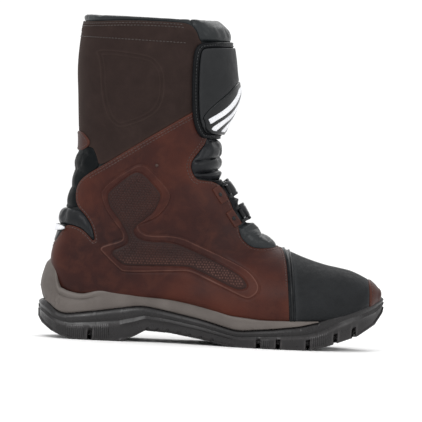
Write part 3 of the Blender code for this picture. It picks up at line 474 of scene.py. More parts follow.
def split(patch, name, level):
    """Cut the triangles along the line where the named value passes the level."""
    mixed, corners, edges, share, where = crossed(patch.values[name], patch.faces, level)
    fresh = interpolated(patch, edges, np.clip(share, 0.05, 0.95))
    patch.values[name][fresh] = level
    a, b, c = corners.T
    p, q = fresh[where]
    patch.faces = np.concatenate([patch.faces[~mixed], np.stack([a, p, q], axis=1),
                                  np.stack([p, b, c], axis=1), np.stack([p, c, q], axis=1)])
    return patch


def refine(patch, marked):
    """Halve the edges whose two ends are marked."""
    flags = marked[patch.faces]
    count = flags.sum(axis=1)
    whole = patch.faces[count == 3]
    part = patch.faces[count == 2]
    lone = (~flags[count == 2]).argmax(axis=1)
    part = np.take_along_axis(part, (lone[:, None] + np.arange(3)) % 3, axis=1)
    edges = [whole[:, [0, 1]], whole[:, [1, 2]], whole[:, [2, 0]], part[:, [1, 2]]]
    unique, where = np.unique(np.sort(np.concatenate(edges), axis=1), axis=0, return_inverse=True)
    fresh = interpolated(patch, unique, np.full(len(unique), 0.5))
    middle = np.split(fresh[where.ravel()], np.cumsum([len(edge) for edge in edges])[:-1])
    ab, bc, ca, opposite = middle
    a, b, c = whole.T
    top, left, right = part.T
    patch.faces = np.concatenate([
        patch.faces[count < 2], np.stack([a, ab, ca], axis=1), np.stack([ab, b, bc], axis=1),
        np.stack([ca, bc, c], axis=1), np.stack([ab, bc, ca], axis=1),
        np.stack([top, left, opposite], axis=1), np.stack([top, opposite, right], axis=1)])
    return patch


def compact(patch):
    """Drop the points that no triangle uses."""
    used, faces = np.unique(patch.faces, return_inverse=True)
    values = {name: value[used] for name, value in patch.values.items()}
    return Patch(patch.place[used], patch.normal[used], faces.reshape(-1, 3), values)


def cut_out(edge, values=(), levels=EDGE_LEVELS, surface=None):
    """The part of the surface where edge is positive, with extra cuts just inside its border."""
    patch = (surface or SKIN).copy()
    patch.values["edge"] = edge
    patch.values.update(values)
    patch.faces = patch.faces[(edge[patch.faces] > -0.5).any(axis=1)]
    patch = compact(patch)
    split(patch, "edge", 0.0)
    patch.faces = patch.faces[(patch.values["edge"][patch.faces] > -1e-6).all(axis=1)]
    for level in levels:
        split(patch, "edge", level)
    return compact(largest(patch))


def largest(patch):
    """Keep the connected part with the most triangles."""
    parent = np.arange(len(patch.place))
    while True:
        low = parent[patch.faces].min(axis=1)
        before = parent.copy()
        for corner in range(3):
            np.minimum.at(parent, patch.faces[:, corner], low)
        parent = parent[parent]
        if (parent == before).all():
            break
    label = parent[patch.faces[:, 0]]
    names, counts = np.unique(label, return_counts=True)
    patch.faces = patch.faces[label == names[counts.argmax()]]
    return patch


def border_edges(faces):
    """Directed edges that belong to one triangle only."""
    edges = np.concatenate([faces[:, [0, 1]], faces[:, [1, 2]], faces[:, [2, 0]]])
    key = np.sort(edges, axis=1)
    _, where, counts = np.unique(key, axis=0, return_inverse=True, return_counts=True)
    return edges[counts[where.ravel()] == 1]


# -------------------------------------------------------------- making objects
def in_scene(name, data):
    made = bpy.data.objects.new(name, data)
    bpy.context.scene.collection.objects.link(made)
    return made


def new_object(name, points, faces, finish, attributes=None, sharp=SHARP_ANGLE):
    """A smooth-shaded object from points in millimetres, with named point values."""
    mesh = bpy.data.meshes.new(name)
    mesh.from_pydata((np.asarray(points) * MM).tolist(), [], [list(map(int, face)) for face in faces])
    mesh.materials.append(finish)
    mesh.shade_smooth()
    mesh.set_sharp_from_angle(angle=sharp)
    for label, value in (attributes or {}).items():
        layer = mesh.attributes.new(label, "FLOAT", "POINT")
        layer.data.foreach_set("value", np.asarray(value, dtype=np.float32))
    made = in_scene(name, mesh)
    return made


def shell(name, patch, outer, inner, finish, welded=False, marks=None):
    """A closed piece between two heights over a patch, with walls or a welded edge."""
    count = len(patch.place)
    top = patch.place + patch.normal * np.broadcast_to(outer, count)[:, None]
    under = patch.place + patch.normal * np.broadcast_to(inner, count)[:, None]
    lower = np.arange(count) + count
    edges = border_edges(patch.faces)
    if welded:
        rim_points = np.unique(edges)
        lower[rim_points] = rim_points
        top[rim_points] = (top[rim_points] + under[rim_points]) / 2
        walls = np.zeros((0, 3), dtype=int)
    else:
        first, second = edges.T
        walls = np.concatenate([np.stack([second, first, lower[first]], axis=1),
                                np.stack([second, lower[first], lower[second]], axis=1)])
    faces = np.concatenate([patch.faces, lower[patch.faces][:, ::-1], walls])
    used, faces = np.unique(faces, return_inverse=True)
    points = np.concatenate([top, under])[used]
    worn = {"wear": np.exp(-np.maximum(patch.values["edge"], 0) / 1.6)}
    worn.update(marks or {})
    attributes = {label: np.concatenate([value, value])[used] for label, value in worn.items()}
    patch.top = top
    return new_object(name, points, faces.reshape(-1, 3), finish, attributes)


def contour(patch, values, level):
    """Lines on the outer face where the values pass the level, as point and normal lists."""
    _, _, edges, share, where = crossed(values, patch.faces, level)
    share = share[:, None]
    spots = patch.top[edges[:, 0]] * (1 - share) + patch.top[edges[:, 1]] * share
    normals = patch.normal[edges[:, 0]] * (1 - share) + patch.normal[edges[:, 1]] * share
    links = {}
    for one, two in where.T.tolist():
        links.setdefault(one, []).append(two)
        links.setdefault(two, []).append(one)
    left = set(links)
    lines = []
    starts = sorted(key for key in links if len(links[key]) == 1) + sorted(links)
    for start in starts:
        if start not in left:
            continue
        left.discard(start)
        line = [start]
        onward = [spot for spot in links[start] if spot in left]
        while onward:
            line.append(onward[0])
            left.discard(onward[0])
            onward = [spot for spot in links[line[-1]] if spot in left]
        closed = line[0] in links[line[-1]] and len(line) > 12
        if len(line) > 4:
            line += line[:1] if closed else []
            lines.append((spots[line], normals[line]))
    return lines


def tube_faces(rings, sides, base=0):
    """Faces of a tube of stacked rings with a cap at each end."""
    faces = [tuple(base + turn for turn in reversed(range(sides)))]
    for low in range(base, base + (rings - 1) * sides, sides):
        for turn in range(sides):
            after = (turn + 1) % sides
            faces.append((low + turn, low + after, low + sides + after, low + sides + turn))
    faces.append(tuple(base + (rings - 1) * sides + turn for turn in range(sides)))
    return faces


def stitch(middle, gone, spots, normals):
    """Points of one raised thread lying along the line at a distance from its start."""
    behind, place, ahead = point_at(middle + np.array((-STITCH_LOOK, 0, STITCH_LOOK)), gone, spots)
    along = ahead - behind
    along /= np.linalg.norm(along)
    out = point_at(middle, gone, normals)
    out -= along * (out @ along)
    out /= np.linalg.norm(out)
    across = np.cross(out, along)
    points = []
    for station, size in STITCH_STATIONS:
        for turn in range(STITCH_SIDES):
            angle = 2 * math.pi * turn / STITCH_SIDES
            lift = STITCH_SINK + STITCH_RADIUS * STITCH_FLATNESS * size * math.sin(angle)
            points.append(place + along * station * STITCH_LENGTH + out * lift
                          + across * STITCH_RADIUS * size * math.cos(angle))
    return points


def stitch_row(lines, keep=None):
    """Points and faces of the threads along the lines, where keep accepts their place."""
    points, faces = [], []
    for spots, normals in lines:
        gone = travelled(spots)
        number = int(gone[-1] / STITCH_PITCH)
        for index in range(number):
            middle = (index + 0.5) * gone[-1] / number
            if keep is None or keep(point_at(middle, gone, spots)):
                faces += tube_faces(len(STITCH_STATIONS), STITCH_SIDES, len(points))
                points += stitch(middle, gone, spots, normals)
    return points, faces


# ------------------------------------------------------------------- materials
class Finish:
    """A node material in the making, with short names for the nodes it uses."""

    def __init__(self, name, **sockets):
        self.material = bpy.data.materials.new(name)
        self.material.use_nodes = True
        self.tree = self.material.node_tree
        self.shader = self.tree.nodes["Principled BSDF"]
        for label, value in sockets.items():
            self.shader.inputs[label.replace("_", " ")].default_value = value
        self.where = self.tree.nodes.new("ShaderNodeTexCoord").outputs["Object"]
        self.height = None

    def feed(self, socket, value):
        """Link an output to the socket, or set the socket to a number or a colour."""
        if isinstance(value, tuple):
            socket.default_value = (*value, 1)
        elif isinstance(value, (int, float)):
            socket.default_value = value
        else:
            self.tree.links.new(value, socket)

    def stretched(self, scale):
        """Object coordinates scaled along each axis."""
        node = self.tree.nodes.new("ShaderNodeMapping")
        node.inputs["Scale"].default_value = scale
        self.feed(node.inputs["Vector"], self.where)
        return node.outputs["Vector"]

    def texture(self, kind, scale, vector=None, **sockets):
        node = self.tree.nodes.new(f"ShaderNodeTex{kind}")
        node.inputs["Scale"].default_value = scale
        for label, value in sockets.items():
            node.inputs[label].default_value = value
        self.feed(node.inputs["Vector"], vector or self.where)
        return node

    def noise(self, millimetres, detail=3.0, roughness=0.55, vector=None, distortion=0.0):
        node = self.texture("Noise", 1000.0 / millimetres, vector, Detail=detail, Roughness=roughness,
                            Distortion=distortion)
        return node.outputs["Fac"]

    def cells(self, millimetres, feature="F1"):
        node = self.texture("Voronoi", 1000.0 / millimetres)
        node.feature = feature
        if feature == "SMOOTH_F1":
            node.inputs["Smoothness"].default_value = 0.4
        return node.outputs["Distance"]

    def waves(self, millimetres, direction, distortion=0.0):
        node = self.texture("Wave", 1000.0 / millimetres / 3.1416 / 2, Distortion=distortion)
        node.bands_direction = direction
        return node.outputs["Fac"]

    def mark(self, name):
        """A named point value of the mesh."""
        node = self.tree.nodes.new("ShaderNodeAttribute")
        node.attribute_name = name
        return node.outputs["Fac"]

    def product(self, first, second):
        node = self.tree.nodes.new("ShaderNodeMath")
        node.operation = "MULTIPLY"
        self.feed(node.inputs[0], first)
        self.feed(node.inputs[1], second)
        return node.outputs[0]

    def ramp(self, source, *stops):
        """Colours or greys at positions from 0 to 1."""
        node = self.tree.nodes.new("ShaderNodeValToRGB")
        while len(node.color_ramp.elements) < len(stops):
            node.color_ramp.elements.new(0.5)
        for element, (place, value) in zip(node.color_ramp.elements, stops):
            element.position = place
            element.color = (*value, 1) if isinstance(value, tuple) else (value, value, value, 1)
        self.feed(node.inputs["Fac"], source)
        return node.outputs["Color"]

    def mix(self, share, first, second, blend="MIX"):
        node = self.tree.nodes.new("ShaderNodeMix")
        node.data_type = "RGBA"
        node.blend_type = blend
        for number, value in ((0, share), (6, first), (7, second)):
            self.feed(node.inputs[number], value)
        return node.outputs[2]

    def dappled(self, color, share, source, *stops):
        """The colour darkened and lightened by a pattern."""
        return self.mix(share, color, self.ramp(source, *stops), "MULTIPLY")

    def tinted(self, color, share, tint, mark="wear"):
        """The colour with a tint where the mark is strong."""
        return self.mix(self.product(self.mark(mark), share), color, tint)

    def bump(self, source, strength, millimetres):
        """Raise the surface by a pattern, on top of the bumps so far."""
        node = self.tree.nodes.new("ShaderNodeBump")
        node.inputs["Strength"].default_value = strength
        node.inputs["Distance"].default_value = millimetres * MM
        self.feed(node.inputs["Height"], source)
        if self.height is not None:
            self.feed(node.inputs["Normal"], self.height)
        self.height = node.outputs["Normal"]

    def done(self, color, roughness):
        self.feed(self.shader.inputs["Base Color"], color)
        self.feed(self.shader.inputs["Roughness"], roughness)
        if self.height is not None:
            self.feed(self.shader.inputs["Normal"], self.height)
        return self.material


def lighter(color, times):
    return tuple(min(1, times * part) for part in color)


def oiled_leather():
    """Reddish brown leather with cloudy depth, pores and paler rubbed edges."""
    finish = Finish("oiled_leather_finish", Specular_IOR_Level=0.13)
    cloud = finish.noise(70, 3, 0.5)
    streak = finish.noise(13, 5, 0.6, distortion=0.5)
    color = finish.ramp(cloud, (0.30, (0.0165, 0.0050, 0.0044)), (0.50, (0.0300, 0.0074, 0.0052)),
                        (0.70, (0.0580, 0.0138, 0.0074)))
    streaks = finish.product(finish.ramp(streak, (0.45, 0.0), (0.72, 1.0)), 0.40)
    color = finish.mix(streaks, color, (0.066, 0.0200, 0.0115))
    color = finish.dappled(color, 0.45, finish.cells(0.75), (0.05, 0.55), (0.45, 1.0))
    # Darker pebbled panel: its own darker tone, with painted shade in the gaps between the pebbles.
    color = finish.tinted(color, 0.75, (0.0165, 0.0090, 0.0082), "pebble")
    # Painted highlight: paler tint along the quarter's embossed ridge and on the tops of its lower pebbles.
    color = finish.tinted(color, finish.ramp(streak, (0.3, 0.35), (0.7, 1.0)), (0.150, 0.074, 0.058), "rub_and_painted_highlight")
    color = finish.tinted(color, 0.55, (0.075, 0.026, 0.017))
    roughness = finish.ramp(finish.mix(0.5, cloud, streak), (0.3, 0.40), (0.75, 0.58))
    finish.bump(finish.noise(5.5, 3, 0.5), 0.25, 0.5)
    finish.bump(finish.cells(0.85, "SMOOTH_F1"), 0.55, 0.12)
    finish.bump(finish.noise(0.45, 2, 0.6), 0.25, 0.06)
    return finish.done(color, roughness)


def suede():
    """Dark brown napped leather."""
    finish = Finish("suede_finish", Sheen_Weight=0.06, Sheen_Roughness=0.45, Specular_IOR_Level=0.08,
                    Sheen_Tint=(0.55, 0.42, 0.36, 1))
    nap = finish.noise(14, 5, 0.62, distortion=0.4)
    fibre = finish.noise(0.8, 4, 0.7)
    color = finish.ramp(nap, (0.30, (0.0185, 0.0118, 0.0105)), (0.55, (0.0220, 0.0140, 0.0124)),
                        (0.78, (0.0275, 0.0176, 0.0155)))
    color = finish.dappled(color, 0.5, fibre, (0.25, 0.62), (0.75, 1.25))
    # Paler tint on the raised lines of the pressed shield: rubbing and a painted highlight.
    color = finish.tinted(color, 0.5, (0.050, 0.034, 0.029), "rub_and_painted_highlight")
    color = finish.tinted(color, 0.4, (0.042, 0.026, 0.021))
    finish.bump(finish.noise(6, 3, 0.5), 0.2, 0.4)
    finish.bump(fibre, 0.6, 0.18)
    return finish.done(color, finish.ramp(fibre, (0.2, 0.80), (0.8, 0.96)))


def padded_leather(name, dark, light, gloss, shine=0.22):
    """Soft synthetic leather with a fine even grain."""
    finish = Finish(name, Specular_IOR_Level=shine)
    color = finish.ramp(finish.noise(22, 3, 0.5), (0.3, dark), (0.7, light))
    color = finish.tinted(color, 0.35, lighter(light, 2.2))
    grain = finish.cells(0.95, "DISTANCE_TO_EDGE")
    finish.bump(finish.noise(4.5, 2, 0.5), 0.22, 0.35)
    finish.bump(finish.ramp(grain, (0.0, 0.0), (0.18, 1.0)), 0.30, 0.07)
    return finish.done(color, finish.ramp(finish.noise(3, 3, 0.6), (0.3, gloss), (0.75, gloss + 0.14)))


def woven(name, dark, light, pitch, gloss=0.6):
    """Plain weave of two crossing yarns."""
    finish = Finish(name, Sheen_Weight=0.05, Sheen_Roughness=0.5, Specular_IOR_Level=0.2)
    weave = finish.product(finish.waves(pitch, "DIAGONAL", 0.2), finish.waves(pitch, "Z", 0.2))
    color = finish.ramp(finish.noise(16, 3, 0.5), (0.3, dark), (0.7, light))
    color = finish.dappled(color, 0.5, weave, (0.1, 0.55), (0.7, 1.3))
    color = finish.tinted(color, 0.3, lighter(light, 2.0))
    finish.bump(weave, 0.6, 0.18)
    finish.bump(finish.noise(0.6, 2, 0.6), 0.25, 0.08)
    return finish.done(color, finish.ramp(weave, (0.0, gloss), (1.0, min(1.0, gloss + 0.2))))


def rubber(name, dark, light, gloss, speckle=0.9, worn=None, ribs=0.0, shine=0.2):
    """Moulded rubber or foam with a faint speckle, rubbed edges, and on request ribs with painted shade in
    their valleys and a painted highlight on their crests.
    """
    finish = Finish(name, Specular_IOR_Level=shine)
    dust = finish.noise(speckle, 3, 0.7)
    color = finish.ramp(finish.noise(26, 4, 0.55), (0.28, dark), (0.72, light))
    color = finish.dappled(color, 0.35, dust, (0.25, 0.70), (0.75, 1.30))
    color = finish.tinted(color, 0.5, worn or lighter(light, 1.8))
    finish.bump(finish.noise(3.5, 3, 0.55), 0.12, 0.3)
    finish.bump(dust, 0.35, 0.06)
    if ribs:
        crest = finish.waves(ribs, "X")
        covered = finish.mark("rub_and_painted_highlight")
        # Painted shade in the rib valleys and a painted highlight on their crests, where the ribs are.
        color = finish.mix(covered, color, finish.dappled(color, 1.0, crest, (0.1, 0.2), (0.6, 1.9)))
        finish.bump(finish.product(crest, covered), 0.9, 0.6)
    return finish.done(color, finish.ramp(finish.noise(7, 4, 0.6), (0.3, gloss), (0.7, gloss + 0.16)))


def grip():
    """Charcoal rubberised toe fabric with a fine honeycomb."""
    finish = Finish("grip_finish", Specular_IOR_Level=0.12)
    comb = finish.cells(1.25, "DISTANCE_TO_EDGE")
    color = finish.ramp(finish.noise(24, 4, 0.55), (0.3, (0.0095, 0.0103, 0.0112)),
                        (0.7, (0.0145, 0.0156, 0.0168)))
    color = finish.dappled(color, 0.6, comb, (0.02, 0.65), (0.16, 1.15))
    color = finish.tinted(color, 0.4, (0.045, 0.048, 0.051))
    finish.bump(finish.ramp(comb, (0.0, 0.0), (0.14, 1.0)), 0.55, 0.16)
    finish.bump(finish.noise(0.5, 2, 0.6), 0.2, 0.06)
    return finish.done(color, finish.ramp(finish.noise(5, 3, 0.6), (0.3, 0.60), (0.7, 0.78)))


def thread(name, dark, light):
    """Bonded thread with its twist showing."""
    finish = Finish(name, Sheen_Weight=0.15, Sheen_Roughness=0.4)
    twist = finish.waves(0.45, "DIAGONAL", 0.3)
    color = finish.ramp(finish.noise(9, 2, 0.5), (0.3, dark), (0.7, light))
    color = finish.dappled(color, 0.5, twist, (0.2, 0.6), (0.8, 1.25))
    finish.bump(twist, 0.5, 0.08)
    return finish.done(color, finish.ramp(twist, (0.0, 0.55), (1.0, 0.75)))


def metal(name, dark, light):
    """Brushed metal."""
    finish = Finish(name, Metallic=1.0)
    brushed = finish.noise(0.6, 4, 0.6, finish.stretched((1, 1, 0.12)))
    finish.bump(brushed, 0.2, 0.03)
    color = finish.ramp(brushed, (0.3, dark), (0.7, light))
    return finish.done(color, finish.ramp(finish.noise(3, 3, 0.6), (0.3, 0.26), (0.7, 0.42)))


def printed_white():
    """White print with a slight grain."""
    finish = Finish("white_print_finish", Specular_IOR_Level=0.4)
    grain = finish.noise(1.1, 3, 0.65)
    color = finish.ramp(finish.noise(12, 3, 0.5), (0.3, (0.66, 0.67, 0.70)), (0.7, (0.80, 0.80, 0.82)))
    color = finish.tinted(color, 0.35, (0.45, 0.46, 0.48))
    finish.bump(grain, 0.25, 0.06)
    return finish.done(color, finish.ramp(grain, (0.3, 0.38), (0.7, 0.52)))


def board():
    """Pressed fibre board."""
    finish = Finish("board_finish")
    fibre = finish.noise(1.6, 5, 0.7, finish.stretched((0.25, 1, 1)))
    color = finish.ramp(fibre, (0.3, (0.20, 0.155, 0.11)), (0.7, (0.34, 0.27, 0.195)))
    finish.bump(fibre, 0.4, 0.12)
    return finish.done(color, finish.ramp(fibre, (0.2, 0.82), (0.8, 0.95)))


LEATHER = oiled_leather()
SUEDE = suede()
SOFT_BLACK = padded_leather("soft_black_finish", (0.0065, 0.0078, 0.0086), (0.0125, 0.0145, 0.0158), 0.34)
BELLOWS_BLACK = padded_leather("bellows_black_finish", (0.0045, 0.0050, 0.0060), (0.0085, 0.0095, 0.0110),
                               0.30, 0.16)
ACHILLES_BLACK = padded_leather("achilles_black_finish", (0.0022, 0.0028, 0.0032),
                                (0.0040, 0.0050, 0.0056), 0.42, 0.05)
FLAP_BLACK = padded_leather("flap_black_finish", (0.0024, 0.0027, 0.0032), (0.0044, 0.0049, 0.0057),
                            0.40, 0.085)
UNDER_BLACK = woven("under_black_finish", (0.005, 0.006, 0.0065), (0.009, 0.0105, 0.011), 0.9)
LINING = woven("lining_finish", (0.010, 0.010, 0.011), (0.022, 0.022, 0.024), 1.6, 0.75)
WEBBING = woven("webbing_finish", (0.006, 0.007, 0.008), (0.013, 0.014, 0.015), 1.3, 0.55)
FOOTBED = woven("footbed_finish", (0.012, 0.012, 0.013), (0.026, 0.026, 0.028), 1.2, 0.8)
PLATE = rubber("plate_finish", (0.0078, 0.0084, 0.0092), (0.0112, 0.0120, 0.0130), 0.48, 0.8, shine=0.17)
MOULDED = rubber("moulded_black_finish", (0.0035, 0.0040, 0.0046), (0.0066, 0.0074, 0.0082), 0.26, 1.2)
GRIP = grip()
MIDSOLE = rubber("midsole_finish", (0.076, 0.065, 0.059), (0.108, 0.094, 0.086), 0.50, 0.7,
                 worn=(0.19, 0.172, 0.16))
OUTSOLE = rubber("outsole_finish", (0.0070, 0.0064, 0.0067), (0.0140, 0.0128, 0.0134), 0.22, 0.9,
                 worn=(0.060, 0.055, 0.056), ribs=0.95, shine=0.30)
THREAD_BROWN = thread("brown_thread_finish", (0.022, 0.0085, 0.0065), (0.045, 0.018, 0.013))
THREAD_DARK = thread("dark_thread_finish", (0.015, 0.0105, 0.009), (0.034, 0.024, 0.020))
THREAD_BLACK = thread("black_thread_finish", (0.008, 0.009, 0.010), (0.020, 0.022, 0.024))
STEEL = metal("steel_finish", (0.36, 0.36, 0.37), (0.58, 0.58, 0.59))
RIVET = metal("rivet_finish", (0.050, 0.034, 0.030), (0.085, 0.060, 0.052))
WHITE = printed_white()
BOARD = board()


# --------------------------------------------------------- camera, floor, light
VIEW_TARGET = (84.0, 0.0, 121.0)
VIEW_DISTANCE = 5000.0
VIEW_ELEVATION = math.radians(1.6)
VIEW_ROLL = math.radians(2.6)
VIEW_WIDTH = 386.0
SENSOR = 36.0
FAR_CLIP = 50.0
FLOOR_HALF = 9.0
FLOOR_GREY = (0.925, 0.945)
WORLD_STRENGTH = 1.10
# Name, place and size in metres, and power in watts.
LIGHTS = (
    ("key_light", (-0.45, -1.3, 1.35), (0.9, 0.7), 13),
    ("fill_light", (1.25, -0.95, 0.75), (0.7, 0.7), 4),
    ("back_light", (0.3, 1.3, 1.3), (1.4, 0.9), 7),
)
LIT_PLACE = Vector((0.08, 0, 0.13))


def make_camera():
    """Long lens looking along +Y at the medial side, from a little above."""
    data = bpy.data.cameras.new("view_camera")
    data.sensor_width = SENSOR
    data.lens = SENSOR * VIEW_DISTANCE / VIEW_WIDTH
    data.clip_end = FAR_CLIP
    camera = in_scene("view_camera", data)
    toward = Vector((0, math.cos(VIEW_ELEVATION), -math.sin(VIEW_ELEVATION)))
    place = (Vector(VIEW_TARGET) - toward * VIEW_DISTANCE) * MM
    turn = toward.to_track_quat("-Z", "Y").to_matrix().to_4x4()
    camera.matrix_world = Matrix.Translation(place) @ turn @ Matrix.Rotation(VIEW_ROLL, 4, "Z")
    bpy.context.scene.camera = camera


def make_light(name, place, size, energy):
    data = bpy.data.lights.new(name, "AREA")
    data.shape = "RECTANGLE"
    data.size, data.size_y = size
    data.energy = energy
    light = in_scene(name, data)
    light.location = place
    light.rotation_euler = (LIT_PLACE - Vector(place)).to_track_quat("-Z", "Y").to_euler()


def make_stage():
    """Pale floor, even white surroundings and three soft lights."""
    finish = Finish("floor_finish")
    dark, light = ((grey,) * 3 for grey in FLOOR_GREY)
    color = finish.ramp(finish.noise(120, 3, 0.5), (0.3, dark), (0.7, light))
    roughness = finish.ramp(finish.noise(40, 3, 0.5), (0.3, 0.75), (0.7, 0.85))
    mesh = bpy.data.meshes.new("floor")
    corners = [(x * FLOOR_HALF, y * FLOOR_HALF, 0) for x, y in ((-1, -1), (1, -1), (1, 1), (-1, 1))]
    mesh.from_pydata(corners, [], [(0, 1, 2, 3)])
    mesh.materials.append(finish.done(color, roughness))
    in_scene("floor", mesh)
    world = bpy.data.worlds.new("studio")
    world.use_nodes = True
    background = world.node_tree.nodes["Background"]
    background.inputs["Color"].default_value = (1, 1, 1, 1)
    background.inputs["Strength"].default_value = WORLD_STRENGTH
    bpy.context.scene.world = world
    bpy.context.scene.view_settings.view_transform = "Standard"
    for light_facts in LIGHTS:
        make_light(*light_facts)


make_camera()
make_stage()


# ------------------------------------------------------------------ upper parts
SIDE = SKIN.values["side"]
DOWN = SKIN.values["down"]
QUARTER_IN = area(QUARTER)
TOE_IN = area(TOE_AREA)
TIP_IN = area(TIP_AREA)
CALF_IN = area(CALF)
COLLAR_IN = area(COLLAR_AREA)
FRONT_PAD_IN = area(FRONT_PAD)
BELLOWS_IN = area(FRONT_BELLOWS)
TONGUE_PAD_IN = area(TONGUE_PAD)
FLAP_IN = split_area(FLAP_MEDIAL, FLAP_LATERAL)
BADGE_IN = area(BADGE_AREA)


def band_coordinates(place, front):
    """Distance along and across an instep strap, in the side view."""
    apart = place[:, [0, 2]] - np.array(front)
    along = apart @ np.array(STRAP_DIRECTION)
    across = apart @ np.array((-STRAP_DIRECTION[1], STRAP_DIRECTION[0]))
    return along, across


def strap_room(place):
    """0 under the instep straps, 1 away from them."""
    room = np.ones(len(place))
    for _, front, _ in STRAPS:
        _, across = band_coordinates(place, front)
        room = np.minimum(room, smooth(np.abs(across), STRAP_HALF_WIDTH + 0.5, STRAP_HALF_WIDTH + 5))
    return room


def tree_of(points):
    tree = KDTree(len(points))
    for index, point in enumerate(points):
        tree.insert(point, index)
    tree.balance()
    return tree


def filling_of(piece, cell):
    """A coarse closed copy of the piece."""
    proxy = in_scene("filling", piece.data.copy())
    grid = proxy.modifiers.new("grid", "REMESH")
    grid.mode = "VOXEL"
    grid.voxel_size = cell * MM
    bpy.context.view_layer.update()
    graph = bpy.context.evaluated_depsgraph_get()
    mesh = bpy.data.meshes.new_from_object(proxy.evaluated_get(graph))
    proxy.modifiers.clear()
    proxy.data = mesh
    return proxy


def swollen(proxy, held):
    """Places of the filling's points after it is blown up as cloth, with some held."""
    scene = bpy.context.scene
    group = proxy.vertex_groups.new(name="held")
    group.add(held, 1.0, "REPLACE")
    cloth = proxy.modifiers.new("cloth", "CLOTH")
    cloth.settings.quality = 5
    cloth.settings.mass = 0.3
    cloth.settings.vertex_group_mass = group.name
    cloth.settings.use_pressure = True
    cloth.settings.uniform_pressure_force = 4.0
    cloth.settings.shrink_min = -0.06
    cloth.settings.bending_stiffness = 0.4
    cloth.settings.effector_weights.gravity = 0.0
    cloth.point_cache.frame_start = 1
    cloth.point_cache.frame_end = CLOTH_FRAMES
    for number in range(1, CLOTH_FRAMES + 1):
        scene.frame_set(number)
    graph = bpy.context.evaluated_depsgraph_get()
    settled = np.array([vert.co for vert in proxy.evaluated_get(graph).to_mesh().vertices])
    scene.frame_set(1)
    return settled


def stuffed(piece, cell=CLOTH_CELL, reach=CLOTH_REACH):
    """Press the cover of a closed padded piece outward as cloth over its filling.

    A coarse closed copy is blown up as cloth, held where it lies under the
    leather.  Its movement, kept within reach, is carried over to the piece.
    """
    proxy = filling_of(piece, cell)
    start = np.array([vert.co for vert in proxy.data.vertices])
    skin = tree_of(SKIN.place * MM)
    nearest = np.array([skin.find(place)[1] for place in start])
    outside = np.einsum("ij,ij->i", start / MM - SKIN.place[nearest], SKIN.normal[nearest])
    moved = swollen(proxy, np.flatnonzero(outside < CLOTH_HELD_BELOW).tolist()) - start
    bpy.data.objects.remove(proxy, do_unlink=True)
    length = np.linalg.norm(moved, axis=1)
    moved *= (np.minimum(length, reach * MM) / np.maximum(length, 1e-9))[:, None]
    tree = tree_of(start)
    for vert in piece.data.vertices:
        found = tree.find_n(vert.co, CLOTH_NEIGHBOURS)
        weights = np.array([1 / (distance + CLOTH_BLUR * MM) ** 2 for _, _, distance in found])
        share = weights / weights.sum()
        vert.co += Vector(share @ moved[[index for _, index, _ in found]])


def flexes(*made):
    for piece in made:
        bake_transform(piece)


def rides(body, *made):
    for piece in made:
        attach(piece, body)


def padded_piece(name, patch, outer, inner, finish, fill, welded=False, **cloth):
    """A soft piece with filling, swollen as cloth."""
    made = shell(name, patch, outer, inner, finish, welded)
    stuffed(made, **cloth)
    return made


def flat_piece(name, cad_node, edge, thickness, radius, under, finish, levels=EDGE_LEVELS):
    """A flat panel with a rounded border that stands for one CAD node, and its patch."""
    patch = cut_out(edge, levels=levels)
    made = shell(name, patch, rim(patch.values["edge"], thickness, radius), under, finish)
    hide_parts(cad_node)
    return made, patch


def pebbles(across, up):
    """Rounded bumps on a slightly uneven triangular lattice, 0 to 1."""
    rise = PEBBLE_PITCH * PEBBLE_ROW
    row = np.round(up / rise)
    best = np.full(len(up), FAR_AWAY)
    for row_step in (-1, 0, 1):
        line = row + row_step
        shift = (line % 2) * PEBBLE_PITCH / 2
        column = np.round((across - shift) / PEBBLE_PITCH)
        for column_step in (-1, 0, 1):
            spot = column + column_step
            uneven = np.sin(line * 12.9 + spot * 78.2) * PEBBLE_UNEVEN
            lift = np.sin(line * 39.3 + spot * 11.1) * PEBBLE_UNEVEN
            centre = shift + spot * PEBBLE_PITCH + uneven
            best = np.minimum(best, np.hypot(across - centre, up - line * rise - lift))
    return np.clip(1 - (best / (PEBBLE_RADIUS * PEBBLE_PITCH)) ** 2, 0, 1)


def stitching(name, rows, finish):
    """One object for the stitch rows given as (patch, values, level, keep)."""
    points, faces = [], []
    for patch, values, level, keep in rows:
        row_points, row_faces = stitch_row(contour(patch, values, level), keep)
        faces += [tuple(index + len(points) for index in face) for face in row_faces]
        points += row_points
    return new_object(name, points, faces, finish, sharp=math.radians(80))


